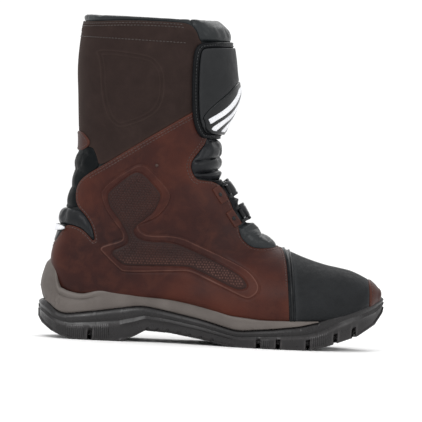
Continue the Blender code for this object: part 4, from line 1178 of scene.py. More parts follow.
def make_quarter(name, toward):
    """Oiled leather side of the foot with its embossed ankle and instep panel."""
    patch = cut_out(within(QUARTER_IN, -TOE_IN, toward * SIDE),
                    {"outline": area(EMBOSS_OUTER), "panel": area(EMBOSS_INNER)})
    near = (np.abs(patch.values["outline"]) < 2.6) | (np.abs(patch.values["panel"]) < 2.4)
    patch = refine(patch, near)
    for label in ("outline", "panel"):
        split(patch, label, 0.0)
    for _ in range(2):
        patch = refine(patch, patch.values["panel"] > 0.5)
    outline, panel = patch.values["outline"], patch.values["panel"]
    x, z = patch.place[:, 0], patch.place[:, 2]
    bumps = pebbles(x, z) * smooth(panel, 1.2, 2.6)
    border = smooth(outline, -0.3, 0.9) - 0.5 * ridge(outline, -1.0, 0.9)
    hollow = 0.9 * smooth(panel, 0.4, 7) - 0.85 * ridge(panel, 0, 0.8)
    swell = 0.16 * np.sin(x * 0.11 + 1.3) * np.sin(z * 0.13)
    height = rim(patch.values["edge"], LEATHER_LIFT) + border + hollow + PEBBLE_HEIGHT * bumps + swell
    # Painted highlight along the ridge of the embossed outline and on the pebble tops, stronger low down.
    low_pebbles = bumps ** 3 * smooth(84 - z, 0, 16)
    rub_and_painted_highlight = np.maximum(0.8 * ridge(outline, 0.6, 0.42), 0.55 * low_pebbles)
    rub_and_painted_highlight = rub_and_painted_highlight * (0.3 + 0.7 * smooth(115 - z, -5, 45))
    # Darker tint of the pebbled panel: its own tone, with painted shade in the gaps between the pebbles.
    shade = smooth(panel, 0, 1.0) * (1.1 - 0.5 * bumps)
    made = shell(name, patch, height, -0.8, LEATHER, marks={"pebble": shade, "rub_and_painted_highlight": rub_and_painted_highlight})
    return made, patch


def make_calf(name, toward):
    """Suede leg panel with the outline of a shield pressed into it."""
    patch = cut_out(within(CALF_IN, toward * SIDE, DOWN - 1.0, -FRONT_PAD_IN), {"shield": area(CALF_EMBOSS)})
    patch = refine(patch, np.abs(patch.values["shield"] - 2.5) < 5.5)
    shield = patch.values["shield"]
    x, z = patch.place[:, 0], patch.place[:, 2]
    height = rim(patch.values["edge"], SUEDE_LIFT, 0.7) + 0.5 * smooth(shield, 5, 9)
    for place, rise, width in SHIELD_LINES:
        height = height + rise * ridge(shield, place, width)
    height = height + 0.25 * np.sin(x * 0.09 + 0.4) * np.sin(z * 0.07 + 1)
    # Paler raised shield lines: rubbing and a painted highlight.
    rub_and_painted_highlight = 0.4 * np.maximum(ridge(shield, 0.6, 0.6), 0.7 * ridge(shield, 4.2, 0.5))
    made = shell(name, patch, height, -1.0, SUEDE, marks={"rub_and_painted_highlight": rub_and_painted_highlight})
    return made, patch


def row_filter(**limits):
    """Accept points inside the given limits, such as low_z=150."""
    axes = {"x": 0, "y": 1, "z": 2}

    def accepts(point):
        for label, limit in limits.items():
            kind, axis = label.split("_")
            value = point[axes[axis]]
            if (kind == "low" and value < limit) or (kind == "high" and value > limit):
                return False
        return True

    return accepts


def off_middle(patch):
    """Distance from the border of a panel, large near the seam down its middle."""
    return np.where(np.abs(patch.values["side"]) < 4, 99.0, patch.values["edge"])


def make_upper():
    """Quarters and calf panels of both sides with their stitch rows."""
    quarter_rows, calf_rows = [], []
    for side_name, toward in SIDES:
        quarter, patch = make_quarter(f"{side_name}_quarter_leather", toward)
        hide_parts(f"{side_name}_quarter")
        edge = off_middle(patch)
        quarter_rows.append((patch, edge, 1.9, row_filter(low_z=56)))
        quarter_rows.append((patch, edge, 4.2, row_filter(low_z=146)))
        calf, patch = make_calf(f"{side_name}_calf_suede", toward)
        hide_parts(f"{side_name}_calf_panel", f"{side_name}_ankle_panel")
        edge = off_middle(patch)
        for level in (2.0, 4.4):
            calf_rows.append((patch, edge, level, row_filter(low_z=280, high_x=52)))
        nearly_level = patch.place[:, 2] + 0.02 * patch.place[:, 0]
        calf_rows.append((patch, nearly_level, 274.5, row_filter(high_x=56)))
        flexes(quarter, calf)
    flexes(stitching("quarter_stitches", quarter_rows, THREAD_BROWN))
    rides("shaft", stitching("calf_stitches", calf_rows, THREAD_DARK))


def make_lining():
    """Fabric under the leather and the lining inside, one layer each."""
    coarse = skin_surface(COARSE_CELL, COARSE_RING_HALF)
    edge = coarse.values["down"] - 2.0
    patch = cut_out(edge, surface=coarse)
    under = shell("under_fabric", patch, -1.1, -2.0, UNDER_BLACK)
    patch = cut_out(edge - 3, surface=coarse)
    lining = shell("inner_lining", patch, -2.8, -7.2, LINING)
    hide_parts("foot_lining", "shaft_lining")
    flexes(under, lining)


def make_collar():
    """Padded rim of the shaft and the glossy pad at its front."""
    patch = cut_out(within(COLLAR_IN, -FRONT_PAD_IN, DOWN), levels=SOFT_LEVELS)
    folds = 0.25 * np.sin(patch.place[:, 0] * 0.33 + patch.place[:, 1] * 0.21)
    full = crown(patch.values["edge"], 5.0)
    collar = padded_piece("collar_pad", patch, COLLAR_SEAT + (5.2 + folds) * full, COLLAR_SEAT - 3.6 * full,
                          SOFT_BLACK, 0.7, welded=True, cell=3.2)
    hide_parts("collar")
    patch = cut_out(within(FRONT_PAD_IN, DOWN), levels=SOFT_LEVELS)
    full = crown(patch.values["edge"], 8.0)
    pad = padded_piece("front_rim_pad", patch, -2.5 + 4.9 * full, COLLAR_SEAT - 3.0 * full,
                       SOFT_BLACK, 0.8, welded=True, reach=0.8)
    rides("shaft", collar, pad)


def make_achilles():
    """Black bellows behind the ankle, with shallow folds."""
    patch = cut_out(within(area(ACHILLES), -QUARTER_IN, -CALF_IN), levels=PAD_LEVELS)
    fold = patch.place[:, 2] + 0.42 * (patch.place[:, 0] + 42)
    wave = np.abs(np.sin((fold - 119.5) * math.pi / ACHILLES_FOLD)) ** 0.6
    height = PAD_SEAT + crown(patch.values["edge"], 7) * (0.3 + 1.7 * wave)
    achilles = padded_piece("achilles_bellows_pad", patch, height, PAD_UNDER, ACHILLES_BLACK, 0.5)
    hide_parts("achilles_bellows")
    flexes(achilles)


def make_heel_parts():
    """Padded crescent, band and white tab behind the heel, and the back stay above."""
    patch = cut_out(within(area(HEEL_PAD), -QUARTER_IN + 0.3), levels=PAD_LEVELS)
    height = PAD_SEAT + 4.0 * crown(patch.values["edge"], 6.5)
    pad = padded_piece("heel_pad_cover", patch, height, PAD_UNDER, BELLOWS_BLACK, 0.8)
    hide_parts("heel_pad")
    band, _ = flat_piece("heel_band_cover", "heel_band", within(area(HEEL_BAND), -QUARTER_IN + 0.3),
                         1.3, 0.9, -1.2, MOULDED)
    tab, _ = flat_piece("heel_tab_print", "heel_tab", area(HEEL_TAB), 4.2, 0.4, 2.6, WHITE)
    rides("foot", pad, band, tab)
    stay, patch = flat_piece("back_stay_leather", "back_stay", area(BACK_STAY),
                             1.5, 1.0, 0.3, LEATHER)
    row = (patch, patch.values["edge"], 1.8, None)
    rides("shaft", stay, stitching("back_stay_stitches", [row], THREAD_BROWN))


def make_front_bellows():
    """Three rounded folds in front of the ankle."""
    patch = cut_out(within(BELLOWS_IN, -QUARTER_IN), levels=PAD_LEVELS)
    fold = patch.place[:, 2] - 0.196 * (patch.place[:, 0] - 88.8)
    floor = np.interp(fold, BELLOWS_VALLEYS, (1.8, 1.6, 3.9, 2.2))
    share = np.zeros(len(fold))
    for low, high in zip(BELLOWS_VALLEYS, BELLOWS_VALLEYS[1:]):
        part = np.clip((fold - low) / (high - low), 0, 1)
        share = np.maximum(share, 2 * np.sqrt(part * (1 - part)))
    height = PAD_SEAT + crown(patch.values["edge"], 7) * (floor + 4.2 * share)
    bellows = padded_piece("front_bellows_pad", patch, height, PAD_UNDER, BELLOWS_BLACK, 0.6)
    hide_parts("front_bellows")
    flexes(bellows)


def make_tongue():
    """Tongue under the straps and its padded lower end."""
    patch = cut_out(within(TONGUE_PAD_IN, -TOE_IN, -QUARTER_IN + 0.2), levels=PAD_LEVELS)
    x, z = patch.place[:, 0], patch.place[:, 2]
    size = np.interp(x, (106, 118, 124, 134, 150), (3.6, 7.2, 7.8, 7.0, 2.6))
    seam = 0.7 * ridge(x - 0.5 * z, 79.5, 1.1)
    full = size * (0.15 + 0.85 * strap_room(patch.place)) - seam
    height = full * crown(patch.values["edge"], 9) - 0.5
    pad = padded_piece("tongue_pad_cover", patch, height, PAD_UNDER, SOFT_BLACK, 0.7)
    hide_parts("tongue_pad")
    patch = cut_out(within(-QUARTER_IN, -BELLOWS_IN, -TONGUE_PAD_IN, -TOE_IN, area(TONGUE_BOX)))
    swell = 4.2 * crown(patch.values["edge"], 7) * (0.25 + 0.75 * strap_room(patch.place))
    tongue = shell("tongue_cover", patch, rim(patch.values["edge"], 0.6) + swell, PAD_UNDER, FLAP_BLACK)
    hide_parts("tongue")
    rides("foot", pad, tongue)


def make_toe():
    """Toe guard, the ribbed band along its seam, and the leather tip."""
    guard, _ = flat_piece("toe_guard_cover", "toe_guard", within(TOE_IN - 5.2, -TIP_IN), 1.0, 0.7, -1.0,
                          GRIP)
    patch = cut_out(within(TOE_IN + 0.6, 5.4 - TOE_IN), levels=(0.3, 0.8, 1.4, 2.2, 3.0))
    across = patch.values["edge"]
    height = rim(across, 1.3, 0.6) + 1.1 * ridge(across, 1.3, 0.55) - 0.3 * ridge(across, 3.0, 0.6)
    piping = shell("toe_piping_band", patch, height, -1.2, MOULDED)
    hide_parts("toe_piping")
    tip, patch = flat_piece("toe_tip_leather", "toe_tip", TIP_IN, 1.7, 0.9, -1.0, LEATHER)
    row = (patch, patch.values["edge"], 1.8, row_filter(low_z=44))
    tip_stitches = stitching("toe_tip_stitches", [row], THREAD_BROWN)
    rides("foot", guard, piping, tip, tip_stitches)


# ------------------------------------------------------------------- shin flap
BAR_RADIUS = 3.3
# Ends of the plain bars as (distance around from the front, height).
BARS = (
    ((-39.0, 203.0), (-9.0, 236.0)), ((-28.0, 198.0), (4.0, 233.0)),
    ((-14.0, 196.0), (17.0, 230.0)), ((1.0, 196.0), (30.0, 228.0)),
)
BULGE_LEVELS = (186, 196, 212, 230, 248, 268, 277)
BULGE_HEIGHTS = (0.4, 2.4, 4.6, 5.6, 3.2, 1.2, 0.0)


def bar_inside(points, start, end):
    """How far each point lies inside a bar with round ends."""
    start, end = np.array(start), np.array(end)
    edge = end - start
    share = np.clip((points - start) @ edge / (edge @ edge), 0, 1)
    away = np.linalg.norm(points - start - share[:, None] * edge, axis=1)
    return np.clip(BAR_RADIUS - away, -FAR_AWAY, FAR_AWAY)


def flap_layer(name, edge, bulge, top, radius, under, finish, levels=EDGE_LEVELS, follow=0):
    """A layer of the flap with the bulge on its face and, with follow at 1, also underneath."""
    patch = cut_out(edge, {"bulge": bulge}, levels=levels)
    raised = patch.values["bulge"]
    height = rim(patch.values["edge"], top, radius) + raised
    return shell(name, patch, height, under + follow * raised, finish)


def make_flap():
    """Flap over the shin with its double border, grey plate, badge and plain bars."""
    bulge = np.interp(SKIN.place[:, 2], BULGE_LEVELS, BULGE_HEIGHTS) * smooth(SKIN.place[:, 0], 62, 92)
    patch = cut_out(FLAP_IN, {"bulge": bulge}, levels=(0.3, 1.0, 1.9, 2.8, 3.8, 4.8))
    edge = patch.values["edge"]
    height = rim(edge, 3.5, 1.3) + 0.9 * ridge(edge, 1.3, 0.75) + 1.15 * ridge(edge, 3.9, 0.75)
    height = height + patch.values["bulge"] * smooth(edge, 5, 12)
    flap = shell("flap_cover", patch, height, 1.7, FLAP_BLACK)
    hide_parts("flap", "flap_piping")
    stitches = stitching("flap_stitches", [(patch, edge, 2.6, None)], THREAD_BLACK)
    plate = flap_layer("shin_plate_cover", within(FLAP_IN - 5.3, -BADGE_IN - 0.2), bulge, 4.9, 0.8, 3.2,
                       PLATE)
    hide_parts("shin_plate")
    badge_edge = within(FLAP_IN - BADGE_BORDER, BADGE_IN)
    badge = flap_layer("shin_badge_cover", badge_edge, bulge, 5.7, 1.1, 3.2, MOULDED)
    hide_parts("shin_badge")
    unrolled = np.column_stack([SKIN.values["wrap"], SKIN.place[:, 2]])
    bars = []
    for number, (start, end) in enumerate(BARS, start=1):
        bar_edge = within(bar_inside(unrolled, start, end), badge_edge - 3.0)
        bars.append(flap_layer(f"shin_bar_{number}", bar_edge, bulge, BAR_TOP, 0.35, BAR_TOP - 0.7,
                               WHITE, levels=(0.35,), follow=1))
    rides("shin_flap", flap, stitches, plate, badge, *bars)


# -------------------------------------------------------------- straps, buckles
DOME_PROFILE = ((-0.6, 1.0), (0.25, 1.0), (0.62, 0.90), (0.88, 0.62), (0.98, 0.30))
DOME_SIDES = 20
JOINTS = {joint["name"]: joint for joint in frame["joints"]}


class Seat:
    """A local frame on a hinge pin: along the part, across it on the pin, and outward."""

    def __init__(self, joint):
        facts = JOINTS[joint]
        self.place = np.array(facts["pos_m"]) / MM
        self.across = np.array(facts["axis"]) / np.linalg.norm(facts["axis"])
        nearest = ((SKIN.place - self.place) ** 2).sum(axis=1).argmin()
        out = SKIN.normal[nearest]
        out = out - self.across * (out @ self.across)
        self.out = out / np.linalg.norm(out)
        self.along = np.cross(self.out, self.across)

    def point(self, along, across, out):
        return self.place + self.along * along + self.across * across + self.out * out


def extruded(seat, outline, low, high, bevel):
    """A bevelled solid from an outline in (along, out), between two places across."""
    shape = bmesh.new()
    ends = []
    for across in (low, high):
        ends.append([shape.verts.new(seat.point(along, across, out)) for along, out in outline])
    shape.faces.new(ends[0][::-1])
    shape.faces.new(ends[1])
    for index in range(len(outline)):
        shape.faces.new((ends[0][index - 1], ends[0][index], ends[1][index], ends[1][index - 1]))
    bmesh.ops.recalc_face_normals(shape, faces=shape.faces)
    sharp = [edge for edge in shape.edges if edge.calc_face_angle(0) > 0.5]
    bmesh.ops.bevel(shape, geom=sharp, offset=bevel, segments=3, affect="EDGES", profile=0.6)
    shape.verts.index_update()
    points = [tuple(vert.co) for vert in shape.verts]
    faces = [tuple(vert.index for vert in face.verts) for face in shape.faces]
    shape.free()
    return points, faces


def both_sides(seat, outline, near, far, bevel):
    """Two equal solids, one at each end of the pin."""
    return [extruded(seat, outline, -far, -near, bevel), extruded(seat, outline, near, far, bevel)]


def joined(name, solids, finish):
    """One object from several (points, faces) solids."""
    points, faces = [], []
    for part_points, part_faces in solids:
        faces += [tuple(index + len(points) for index in face) for face in part_faces]
        points += part_points
    return new_object(name, points, faces, finish)


def moulded(name, solids):
    return joined(name, solids, MOULDED)


def dome(place, out, radius, height):
    """A rivet head standing on a point."""
    out = np.array(out) / np.linalg.norm(out)
    side = np.cross(out, (0.3, 0.5, 0.8))
    side /= np.linalg.norm(side)
    other = np.cross(out, side)
    points = []
    for level, size in DOME_PROFILE:
        for turn in range(DOME_SIDES):
            angle = 2 * math.pi * turn / DOME_SIDES
            around = side * math.cos(angle) + other * math.sin(angle)
            points.append(place + out * level * height + radius * size * around)
    return points, tube_faces(len(DOME_PROFILE), DOME_SIDES)


def on_side(keep, edge):
    """The inside distance on one side of the boot only."""
    return np.where(keep, np.clip(edge, -FAR_AWAY, FAR_AWAY), -FAR_AWAY)


def fine(patch, times=1):
    """Halve every edge of the patch."""
    for _ in range(times):
        patch = refine(patch, np.ones(len(patch.place), dtype=bool))
    return patch


def make_band(name, along, across, pin_back):
    """Toothed strap from its hinge over the instep to the buckle."""
    reach = np.where(SIDE < 0, ANCHOR_BACK - 1.2 - along, pin_back + STRAP_END - along)
    edge = on_side(along >= -20, within(STRAP_HALF_WIDTH - np.abs(across), reach, along + 30))
    patch = fine(cut_out(edge, {"along": along, "across": across}, levels=(0.3, 0.9, 1.6)))
    run, off_line = patch.values["along"], np.abs(patch.values["across"])
    teeth = 0.5 + 0.5 * np.cos(run * 2 * math.pi / STRAP_TOOTH)
    ribbed = smooth(3.6 - off_line, 0, 1.2) * smooth(pin_back - 15 - run, 0, 2)
    over_crest = smooth(12 - np.abs(patch.values["side"]), 0, 9)
    height = rim(patch.values["edge"], 3.4, 1.1) + 0.6 * teeth * ribbed - 0.5 * ridge(off_line, 5.2, 0.6)
    height = height + 3.4 * over_crest
    return shell(f"{name}_strap_band", patch, height, 1.1, MOULDED)


def make_anchor(name, along, across, hinge):
    """Leather tab with a rivet and two ears, which holds the strap's hinge."""
    edge = within(STRAP_HALF_WIDTH - np.abs(across), along - ANCHOR_BACK - 3.0, ANCHOR_BACK + 10 - along)
    plate, _ = flat_piece(f"{name}_anchor_plate", f"{name}_strap_anchor", on_side(SIDE < 0, edge),
                          2.3, 0.8, 0.6, LEATHER, HARD_LEVELS)
    ears = moulded(f"{name}_anchor_ears", both_sides(hinge, HINGE_EAR, 4.9, 7.8, 0.4))
    from_rivet = (along - (ANCHOR_BACK + 7)) ** 2 + across ** 2
    spot = np.where(SIDE < 0, from_rivet, np.inf).argmin()
    head = dome(SKIN.place[spot] + SKIN.normal[spot] * 2.2, SKIN.normal[spot], 1.9, 0.9)
    return plate, ears, moulded(f"{name}_anchor_rivet", [head])


def make_catch(name, along, across, pin_back):
    """Toothed ladder on the quarter that the buckle lever hooks into."""
    low, high = CATCH_SPAN
    edge = within(CATCH_HALF_WIDTH - np.abs(across), along - pin_back - low, pin_back + high - along)
    patch = cut_out(on_side(SIDE > 0, edge), {"along": along, "across": across}, levels=HARD_LEVELS)
    patch = fine(patch, times=2)
    saw = (patch.values["along"] / CATCH_TOOTH) % 1.0
    teeth = np.where(saw < 0.75, saw / 0.75, (1 - saw) / 0.25)
    inner = smooth(4.6 - np.abs(patch.values["across"]), 0, 0.8)
    height = rim(patch.values["edge"], 2.6, 0.8) + 0.9 * teeth * inner
    return shell(f"{name}_catch_ladder", patch, height, 1.0, MOULDED)


def make_strap(name, front, pin_back):
    """One instep strap with its hinge, catch, buckle and lever."""
    along, across = band_coordinates(SKIN.place, front)
    band = make_band(name, along, across, pin_back)
    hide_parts(f"{name}_strap")
    hinge = Seat(f"{name}_strap_swing")
    if hinge.along @ np.array((STRAP_DIRECTION[0], 0, STRAP_DIRECTION[1])) < 0:
        hinge.along = -hinge.along
    turns = np.linspace(0, 2 * math.pi, 20, endpoint=False)
    barrel = [(PIN_RADIUS * math.cos(turn), PIN_RADIUS * math.sin(turn)) for turn in turns]
    knuckle = moulded(f"{name}_strap_knuckle", [
        extruded(hinge, barrel, -KNUCKLE_HALF, KNUCKLE_HALF, 0.35),
        extruded(hinge, KNUCKLE_LEAF, -KNUCKLE_HALF, KNUCKLE_HALF, 0.3)])
    anchor = make_anchor(name, along, across, hinge)
    catch = make_catch(name, along, across, pin_back)
    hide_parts(f"{name}_catch")
    rides("foot", *anchor, catch)

    pin = Seat(f"{name}_lever_lift")
    buckle = moulded(f"{name}_buckle_body", both_sides(pin, BUCKLE_CHEEK, 5.8, 7.6, 0.4)
                     + [extruded(pin, BUCKLE_BASE, -6.2, 6.2, 0.3)])
    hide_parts(f"{name}_buckle_frame")
    heads = [dome(pin.point(0, side * 7.4, 0), side * pin.across, 1.9, 0.9) for side in (-1, 1)]
    heads = joined(f"{name}_buckle_pin_heads", heads, STEEL)
    solids = [extruded(pin, LEVER, -5.3, 5.3, 0.45)]
    for place in LEVER_RIBS:
        rise = np.interp(place, (20, 28), (1.2, 1.8))
        rib = [(place + along_rib, rise + out) for along_rib, out in LEVER_RIB]
        solids.append(extruded(pin, rib, -3.8, 3.8, 0.15))
    lever = moulded(f"{name}_lever_arm", solids)
    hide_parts(f"{name}_lever")
    rides(f"{name}_strap", band, knuckle, buckle, heads)
    rides(f"{name}_lever", lever)


# ------------------------------------------------------------------------ sole
SOLE_PLAN = (
    (-70, 0), (-66, -18), (-52, -33), (-25, -39.5), (10, -38.5), (45, -37.5), (80, -44),
    (115, -55), (145, -59.5), (175, -57), (205, -48), (228, -34), (241, -18), (245.7, -6),
    (241, 6), (228, 19), (205, 34), (175, 46.5), (145, 52), (115, 52.5), (80, 48.5), (45, 45),
    (10, 42), (-25, 40.5), (-52, 33), (-66, 18),
)
MIDSOLE_TOP = (
    (-60.3, 75.0), (-57, 61.8), (-54.6, 50.9), (-52.6, 46.5), (-43.3, 43.3), (-32.2, 41.5),
    (-24.9, 42.3), (-16.9, 45.9), (-11.4, 47.1), (31.7, 46.4), (59.2, 44.5), (77.8, 38.1),
    (104, 28.3), (133.4, 25.6), (179.1, 26.5), (186.4, 27),
)
MIDSOLE_BOTTOM = (
    (-68, 34.9), (-59.1, 29.7), (-53.4, 24.5), (-44.1, 23.1), (-13.2, 27.3), (18.6, 32.5),
    (27.7, 32.9), (36.9, 31.5), (78.5, 23.5), (108.2, 15.7), (115.6, 15.2), (147.5, 18.5),
    (170.2, 21.6), (186.4, 26.2),
)
OUTSOLE_BOTTOM = (
    (-69.9, 24.6), (-69.6, 18.2), (-65.6, 12.9), (-57.1, 6.9), (-47, 2.5), (-38, 0), (5, 0),
    (19, 5), (28.7, 10.5), (51.7, 9.4), (79.4, 5.2), (103, 1.2), (112, 0), (176, 0),
    (196.6, 5), (221.8, 14), (237.8, 24.7), (244.7, 35.1), (245.7, 40),
)
TOE_BUMPER_TOP = ((186.4, 26.6), (193.6, 29.9), (200.7, 34.8), (206.1, 37.8), (215, 41.9), (224.1, 44.2),
                  (233.1, 46.5), (241.3, 48.3), (245.7, 50.0))
HEEL_LEAN = ((34.0, -3.5), (39.4, -3.2), (46.6, -1.6), (54.9, -2.2), (67.0, -5.2), (72.7, -9.5))
GROOVE_PLACES = (-24, 127, 145, 172, 197, 214)
RIB_SPANS = ((-44, -26), (-22, -3), (129.5, 143), (175, 195))
SOLE_CELL = 1.2
SOLE_SOFTNESS = 2.2
MIDSOLE_TIP = 186.4
OUTSOLE_INSET = 12.0
GROOVE_HALF = 1.7
GROOVE_DEPTH = 4.6
ARCH_GROOVE_DEPTH = 1.6
ON_LUG = -5.0
WALL_LEVELS = (0.05, 0.12, 0.22, 0.32, 0.42, 0.50, 0.56, 0.62, 0.70, 0.80, 0.88, 0.94, 0.98, 1.0)
# Share of the midsole's height, and how far its wall stands out there.
MIDSOLE_PROFILE = (
    (0.0, -2.6), (0.03, -1.3), (0.10, -0.5), (0.30, -0.1), (0.45, -0.3), (0.56, -0.5), (0.62, -0.6),
    (0.68, -0.7), (0.74, -0.8), (0.82, -1.0), (0.90, -1.5), (0.96, -2.3), (1.0, -3.4),
)
MIDSOLE_INSET = 9.0


def smooth_plan(steps):
    """Dense points of the sole's plan."""
    table = np.array(SOLE_PLAN, dtype=float)
    near = [np.roll(table, shift, axis=0)[:, None] for shift in (1, 0, -1, -2)]
    share = np.linspace(0, 1, steps, endpoint=False)[None, :, None]
    return catmull_rom(*near, share).reshape(-1, 2)


def outward(loop):
    """Unit directions pointing out of a closed plan curve, evened out a little."""
    after = np.roll(loop, -1, axis=0)
    run = after - np.roll(loop, 1, axis=0)
    out = np.stack([run[:, 1], -run[:, 0]], axis=1)
    out /= np.maximum(np.linalg.norm(out, axis=1), 1e-9)[:, None]
    signed_area = np.sum(loop[:, 0] * after[:, 1] - loop[:, 1] * after[:, 0])
    out = out if signed_area > 0 else -out
    for _ in range(3):
        out = (np.roll(out, 1, axis=0) + 2 * out + np.roll(out, -1, axis=0)) / 4
    return out / np.linalg.norm(out, axis=1)[:, None]


def line_height(x, line, soften=0.0):
    """Height of a line at x, averaged over a short stretch when soften is given."""
    places, heights = np.array(line, dtype=float).T
    return np.mean([np.interp(x + step * soften, places, heights) for step in (-2, -1, 0, 1, 2)], axis=0)


def groove_centre(place, y):
    """Where a cross groove lies at a distance y across the sole."""
    swing = 5.0 if place > 100 else 3.0
    return place + swing * (1 - np.cos(np.clip(y + 3, -40, 40) / 40 * math.pi)) / 2


def tread_depth(x, y):
    """How far inside the edge of a tread groove each point lies, negative on the lugs."""
    depth = np.full(len(x), ON_LUG)
    for place in GROOVE_PLACES:
        depth = np.maximum(depth, GROOVE_HALF - np.abs(x - groove_centre(place, y)))
    zigzag = -3 + 5.5 * (2 / math.pi) * np.arcsin(np.sin(x * 2 * math.pi / 26))
    under_ball_or_heel = (x > 110) & (x < 222) | (x > -55) & (x < 2)
    depth = np.maximum(depth, np.where(under_ball_or_heel, GROOVE_HALF - np.abs(y - zigzag), ON_LUG))
    under_ball = (x > 112) & (x < 205)
    for offset in (-24, 20):
        channel = offset * (1 + 0.25 * smooth(x, 90, 150)) + 2.5 * np.sin(x * 2 * math.pi / 20)
        depth = np.maximum(depth, np.where(under_ball, 1.3 - np.abs(y - channel), ON_LUG))
    chevron = 1.4 - np.abs((x - 0.5 * np.abs(y + 2)) % 9 - 4.5)
    return np.maximum(depth, np.where((x > 26) & (x < 96), chevron, ON_LUG))


def make_tread():
    """The underside of the outsole as a patch with its grooves pressed in."""
    plan = smooth_plan(24)
    low, high = plan.min(axis=0) - 3, plan.max(axis=0) + 3
    grid = np.meshgrid(*(np.arange(*ends, SOLE_CELL) for ends in zip(low, high)), indexing="ij")
    place = np.column_stack([grid[0].ravel(), grid[1].ravel(), np.zeros(grid[0].size)])
    ids = np.arange(grid[0].size).reshape(grid[0].shape)
    faces = np.concatenate([np.stack([ids[:-1, :-1], ids[:-1, 1:], ids[1:, 1:]], axis=2).reshape(-1, 3),
                            np.stack([ids[:-1, :-1], ids[1:, 1:], ids[1:, :-1]], axis=2).reshape(-1, 3)])
    flat = Patch(place, np.tile((0.0, 0.0, -1.0), (len(place), 1)), faces, {"side": place[:, 1]})
    edge = inside_distance(place[:, :2], plan)
    patch = cut_out(edge, {"groove": tread_depth(place[:, 0], place[:, 1])}, levels=(1.0,), surface=flat)
    for level in (-0.05, 0.75):
        split(patch, "groove", level)
    patch = compact(patch)
    x = patch.place[:, 0]
    depth = np.where((x > 20) & (x < 100), ARCH_GROOVE_DEPTH, GROOVE_DEPTH)
    patch.place[:, 2] = line_height(x, OUTSOLE_BOTTOM) + depth * smooth(patch.values["groove"], -0.06, 0.8)
    patch.place[:, 2] += 0.9 * (1 - crown(patch.values["edge"], 1.6))
    return patch


def span(value, low, high, ease):
    """1 between two places, easing to 0 at both."""
    return smooth(value, low, low + ease) * smooth(-value, -high, -high + ease)


def wall_inset(level, above, ribs, notch, blocks):
    """How far the side wall stands out at a level from 0 to 1, over a plan point."""
    inset = -1.1 * (1 - crown(np.full(len(above), level), 0.10))
    inset = inset + 0.7 * ribs * smooth(level, 0.04, 0.12) * (1 - smooth(level, 0.44, 0.52))
    inset = inset - 3.6 * notch * (1 - smooth(above, 7.0, 10.0))
    inset = inset - 1.2 * (1 - blocks) * (1 - smooth(level, 0.40, 0.52))
    inset = inset - 1.9 * smooth(level, 0.52, 0.60) + 1.7 * ridge(level, 0.76, 0.12)
    return inset - 1.6 * smooth(level, 0.90, 1.0) ** 2


def make_outsole():
    """Lugged rubber outsole: tread seen from below, ribbed side wall and toe bumper."""
    patch = make_tread()
    loop = ordered_loop(border_edges(patch.faces))
    ring = patch.place[loop]
    out = outward(ring[:, :2])
    x, start = ring[:, 0], ring[:, 2]
    base = line_height(x, OUTSOLE_BOTTOM)
    top = np.where(x < MIDSOLE_TIP, line_height(x, MIDSOLE_BOTTOM, SOLE_SOFTNESS),
                   line_height(x, TOE_BUMPER_TOP))
    ribs = np.maximum.reduce([span(x, first, last, 1.5) for first, last in RIB_SPANS])
    from_groove = within(*(np.abs(x - groove_centre(place, ring[:, 1])) for place in GROOVE_PLACES))
    notch = smooth(2.0 - from_groove, 0, 0.6)
    lip = ridge(from_groove, 2.7, 0.9)
    heel_block = smooth(x, -58, -50) * smooth(-x, -12, -2)
    blocks = np.maximum(heel_block, span(x, 104, 226, 12))

    nothing = np.zeros(len(ring))
    points = [tuple(point) for point in patch.place]
    faces = [tuple(face) for face in patch.faces]
    ribbed = [np.zeros(len(points))]
    tinted = [np.zeros(len(points))]
    rings = []
    for level in WALL_LEVELS:
        foot_height = base + (start - base) * (1 - smooth(level, 0.0, 0.3))
        height = foot_height + (top - foot_height) * level
        rings.append((wall_inset(level, height - base, ribs, notch, blocks), height))
        below_ledge = 1 - smooth(level, 0.44, 0.52)
        ribbed.append(ribs * smooth(level, 0.02, 0.08) * below_ledge * (1 - notch))
        tinted.append(0.9 * lip * (1 - smooth(level, 0.34, 0.46)) + 0.5 * ridge(level, 0.50, 0.05) * blocks)
    for inset, lift in ((-4.0, 0.1), (-OUTSOLE_INSET, 0.0)):
        rings.append((np.full(len(ring), inset), top + lift))
        ribbed.append(nothing)
        tinted.append(nothing)
    previous = loop
    for inset, height in rings:
        current = np.arange(len(ring)) + len(points)
        points += [tuple(point) for point in np.column_stack([ring[:, :2] + out * inset[:, None], height])]
        add_band(faces, previous, current)
        previous = current
    faces.append(tuple(reversed(previous.tolist())))
    points = np.array(points)
    corner = points[:, 2] - line_height(points[:, 0], OUTSOLE_BOTTOM)
    wear = np.maximum(0.5 * np.exp(-np.maximum(corner, 0) / 1.5), np.concatenate(tinted))
    # The ribbed mask goes to the finish, which paints shade in the rib valleys and a highlight on their
    # crests.
    sole = new_object("outsole_rubber", points, faces, OUTSOLE,
                      {"wear": wear, "rub_and_painted_highlight": np.concatenate(ribbed)}, math.radians(32))
    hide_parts("outsole")
    rides("foot", sole)


def add_band(faces, lower, upper):
    """Quads between two closed rings of point numbers, facing away from the sole."""
    count = len(lower)
    for index in range(count):
        after = (index + 1) % count
        faces.append((int(lower[after]), int(lower[index]), int(upper[index]), int(upper[after])))


def ordered_loop(edges):
    """The longest closed ring of border points, in order."""
    onward = {int(a): int(b) for a, b in edges}
    best = []
    while onward:
        start = next(iter(onward))
        line = [start]
        while line[-1] in onward:
            line.append(onward.pop(line[-1]))
        if len(line) > len(best):
            best = line
    return np.array(best[:-1])


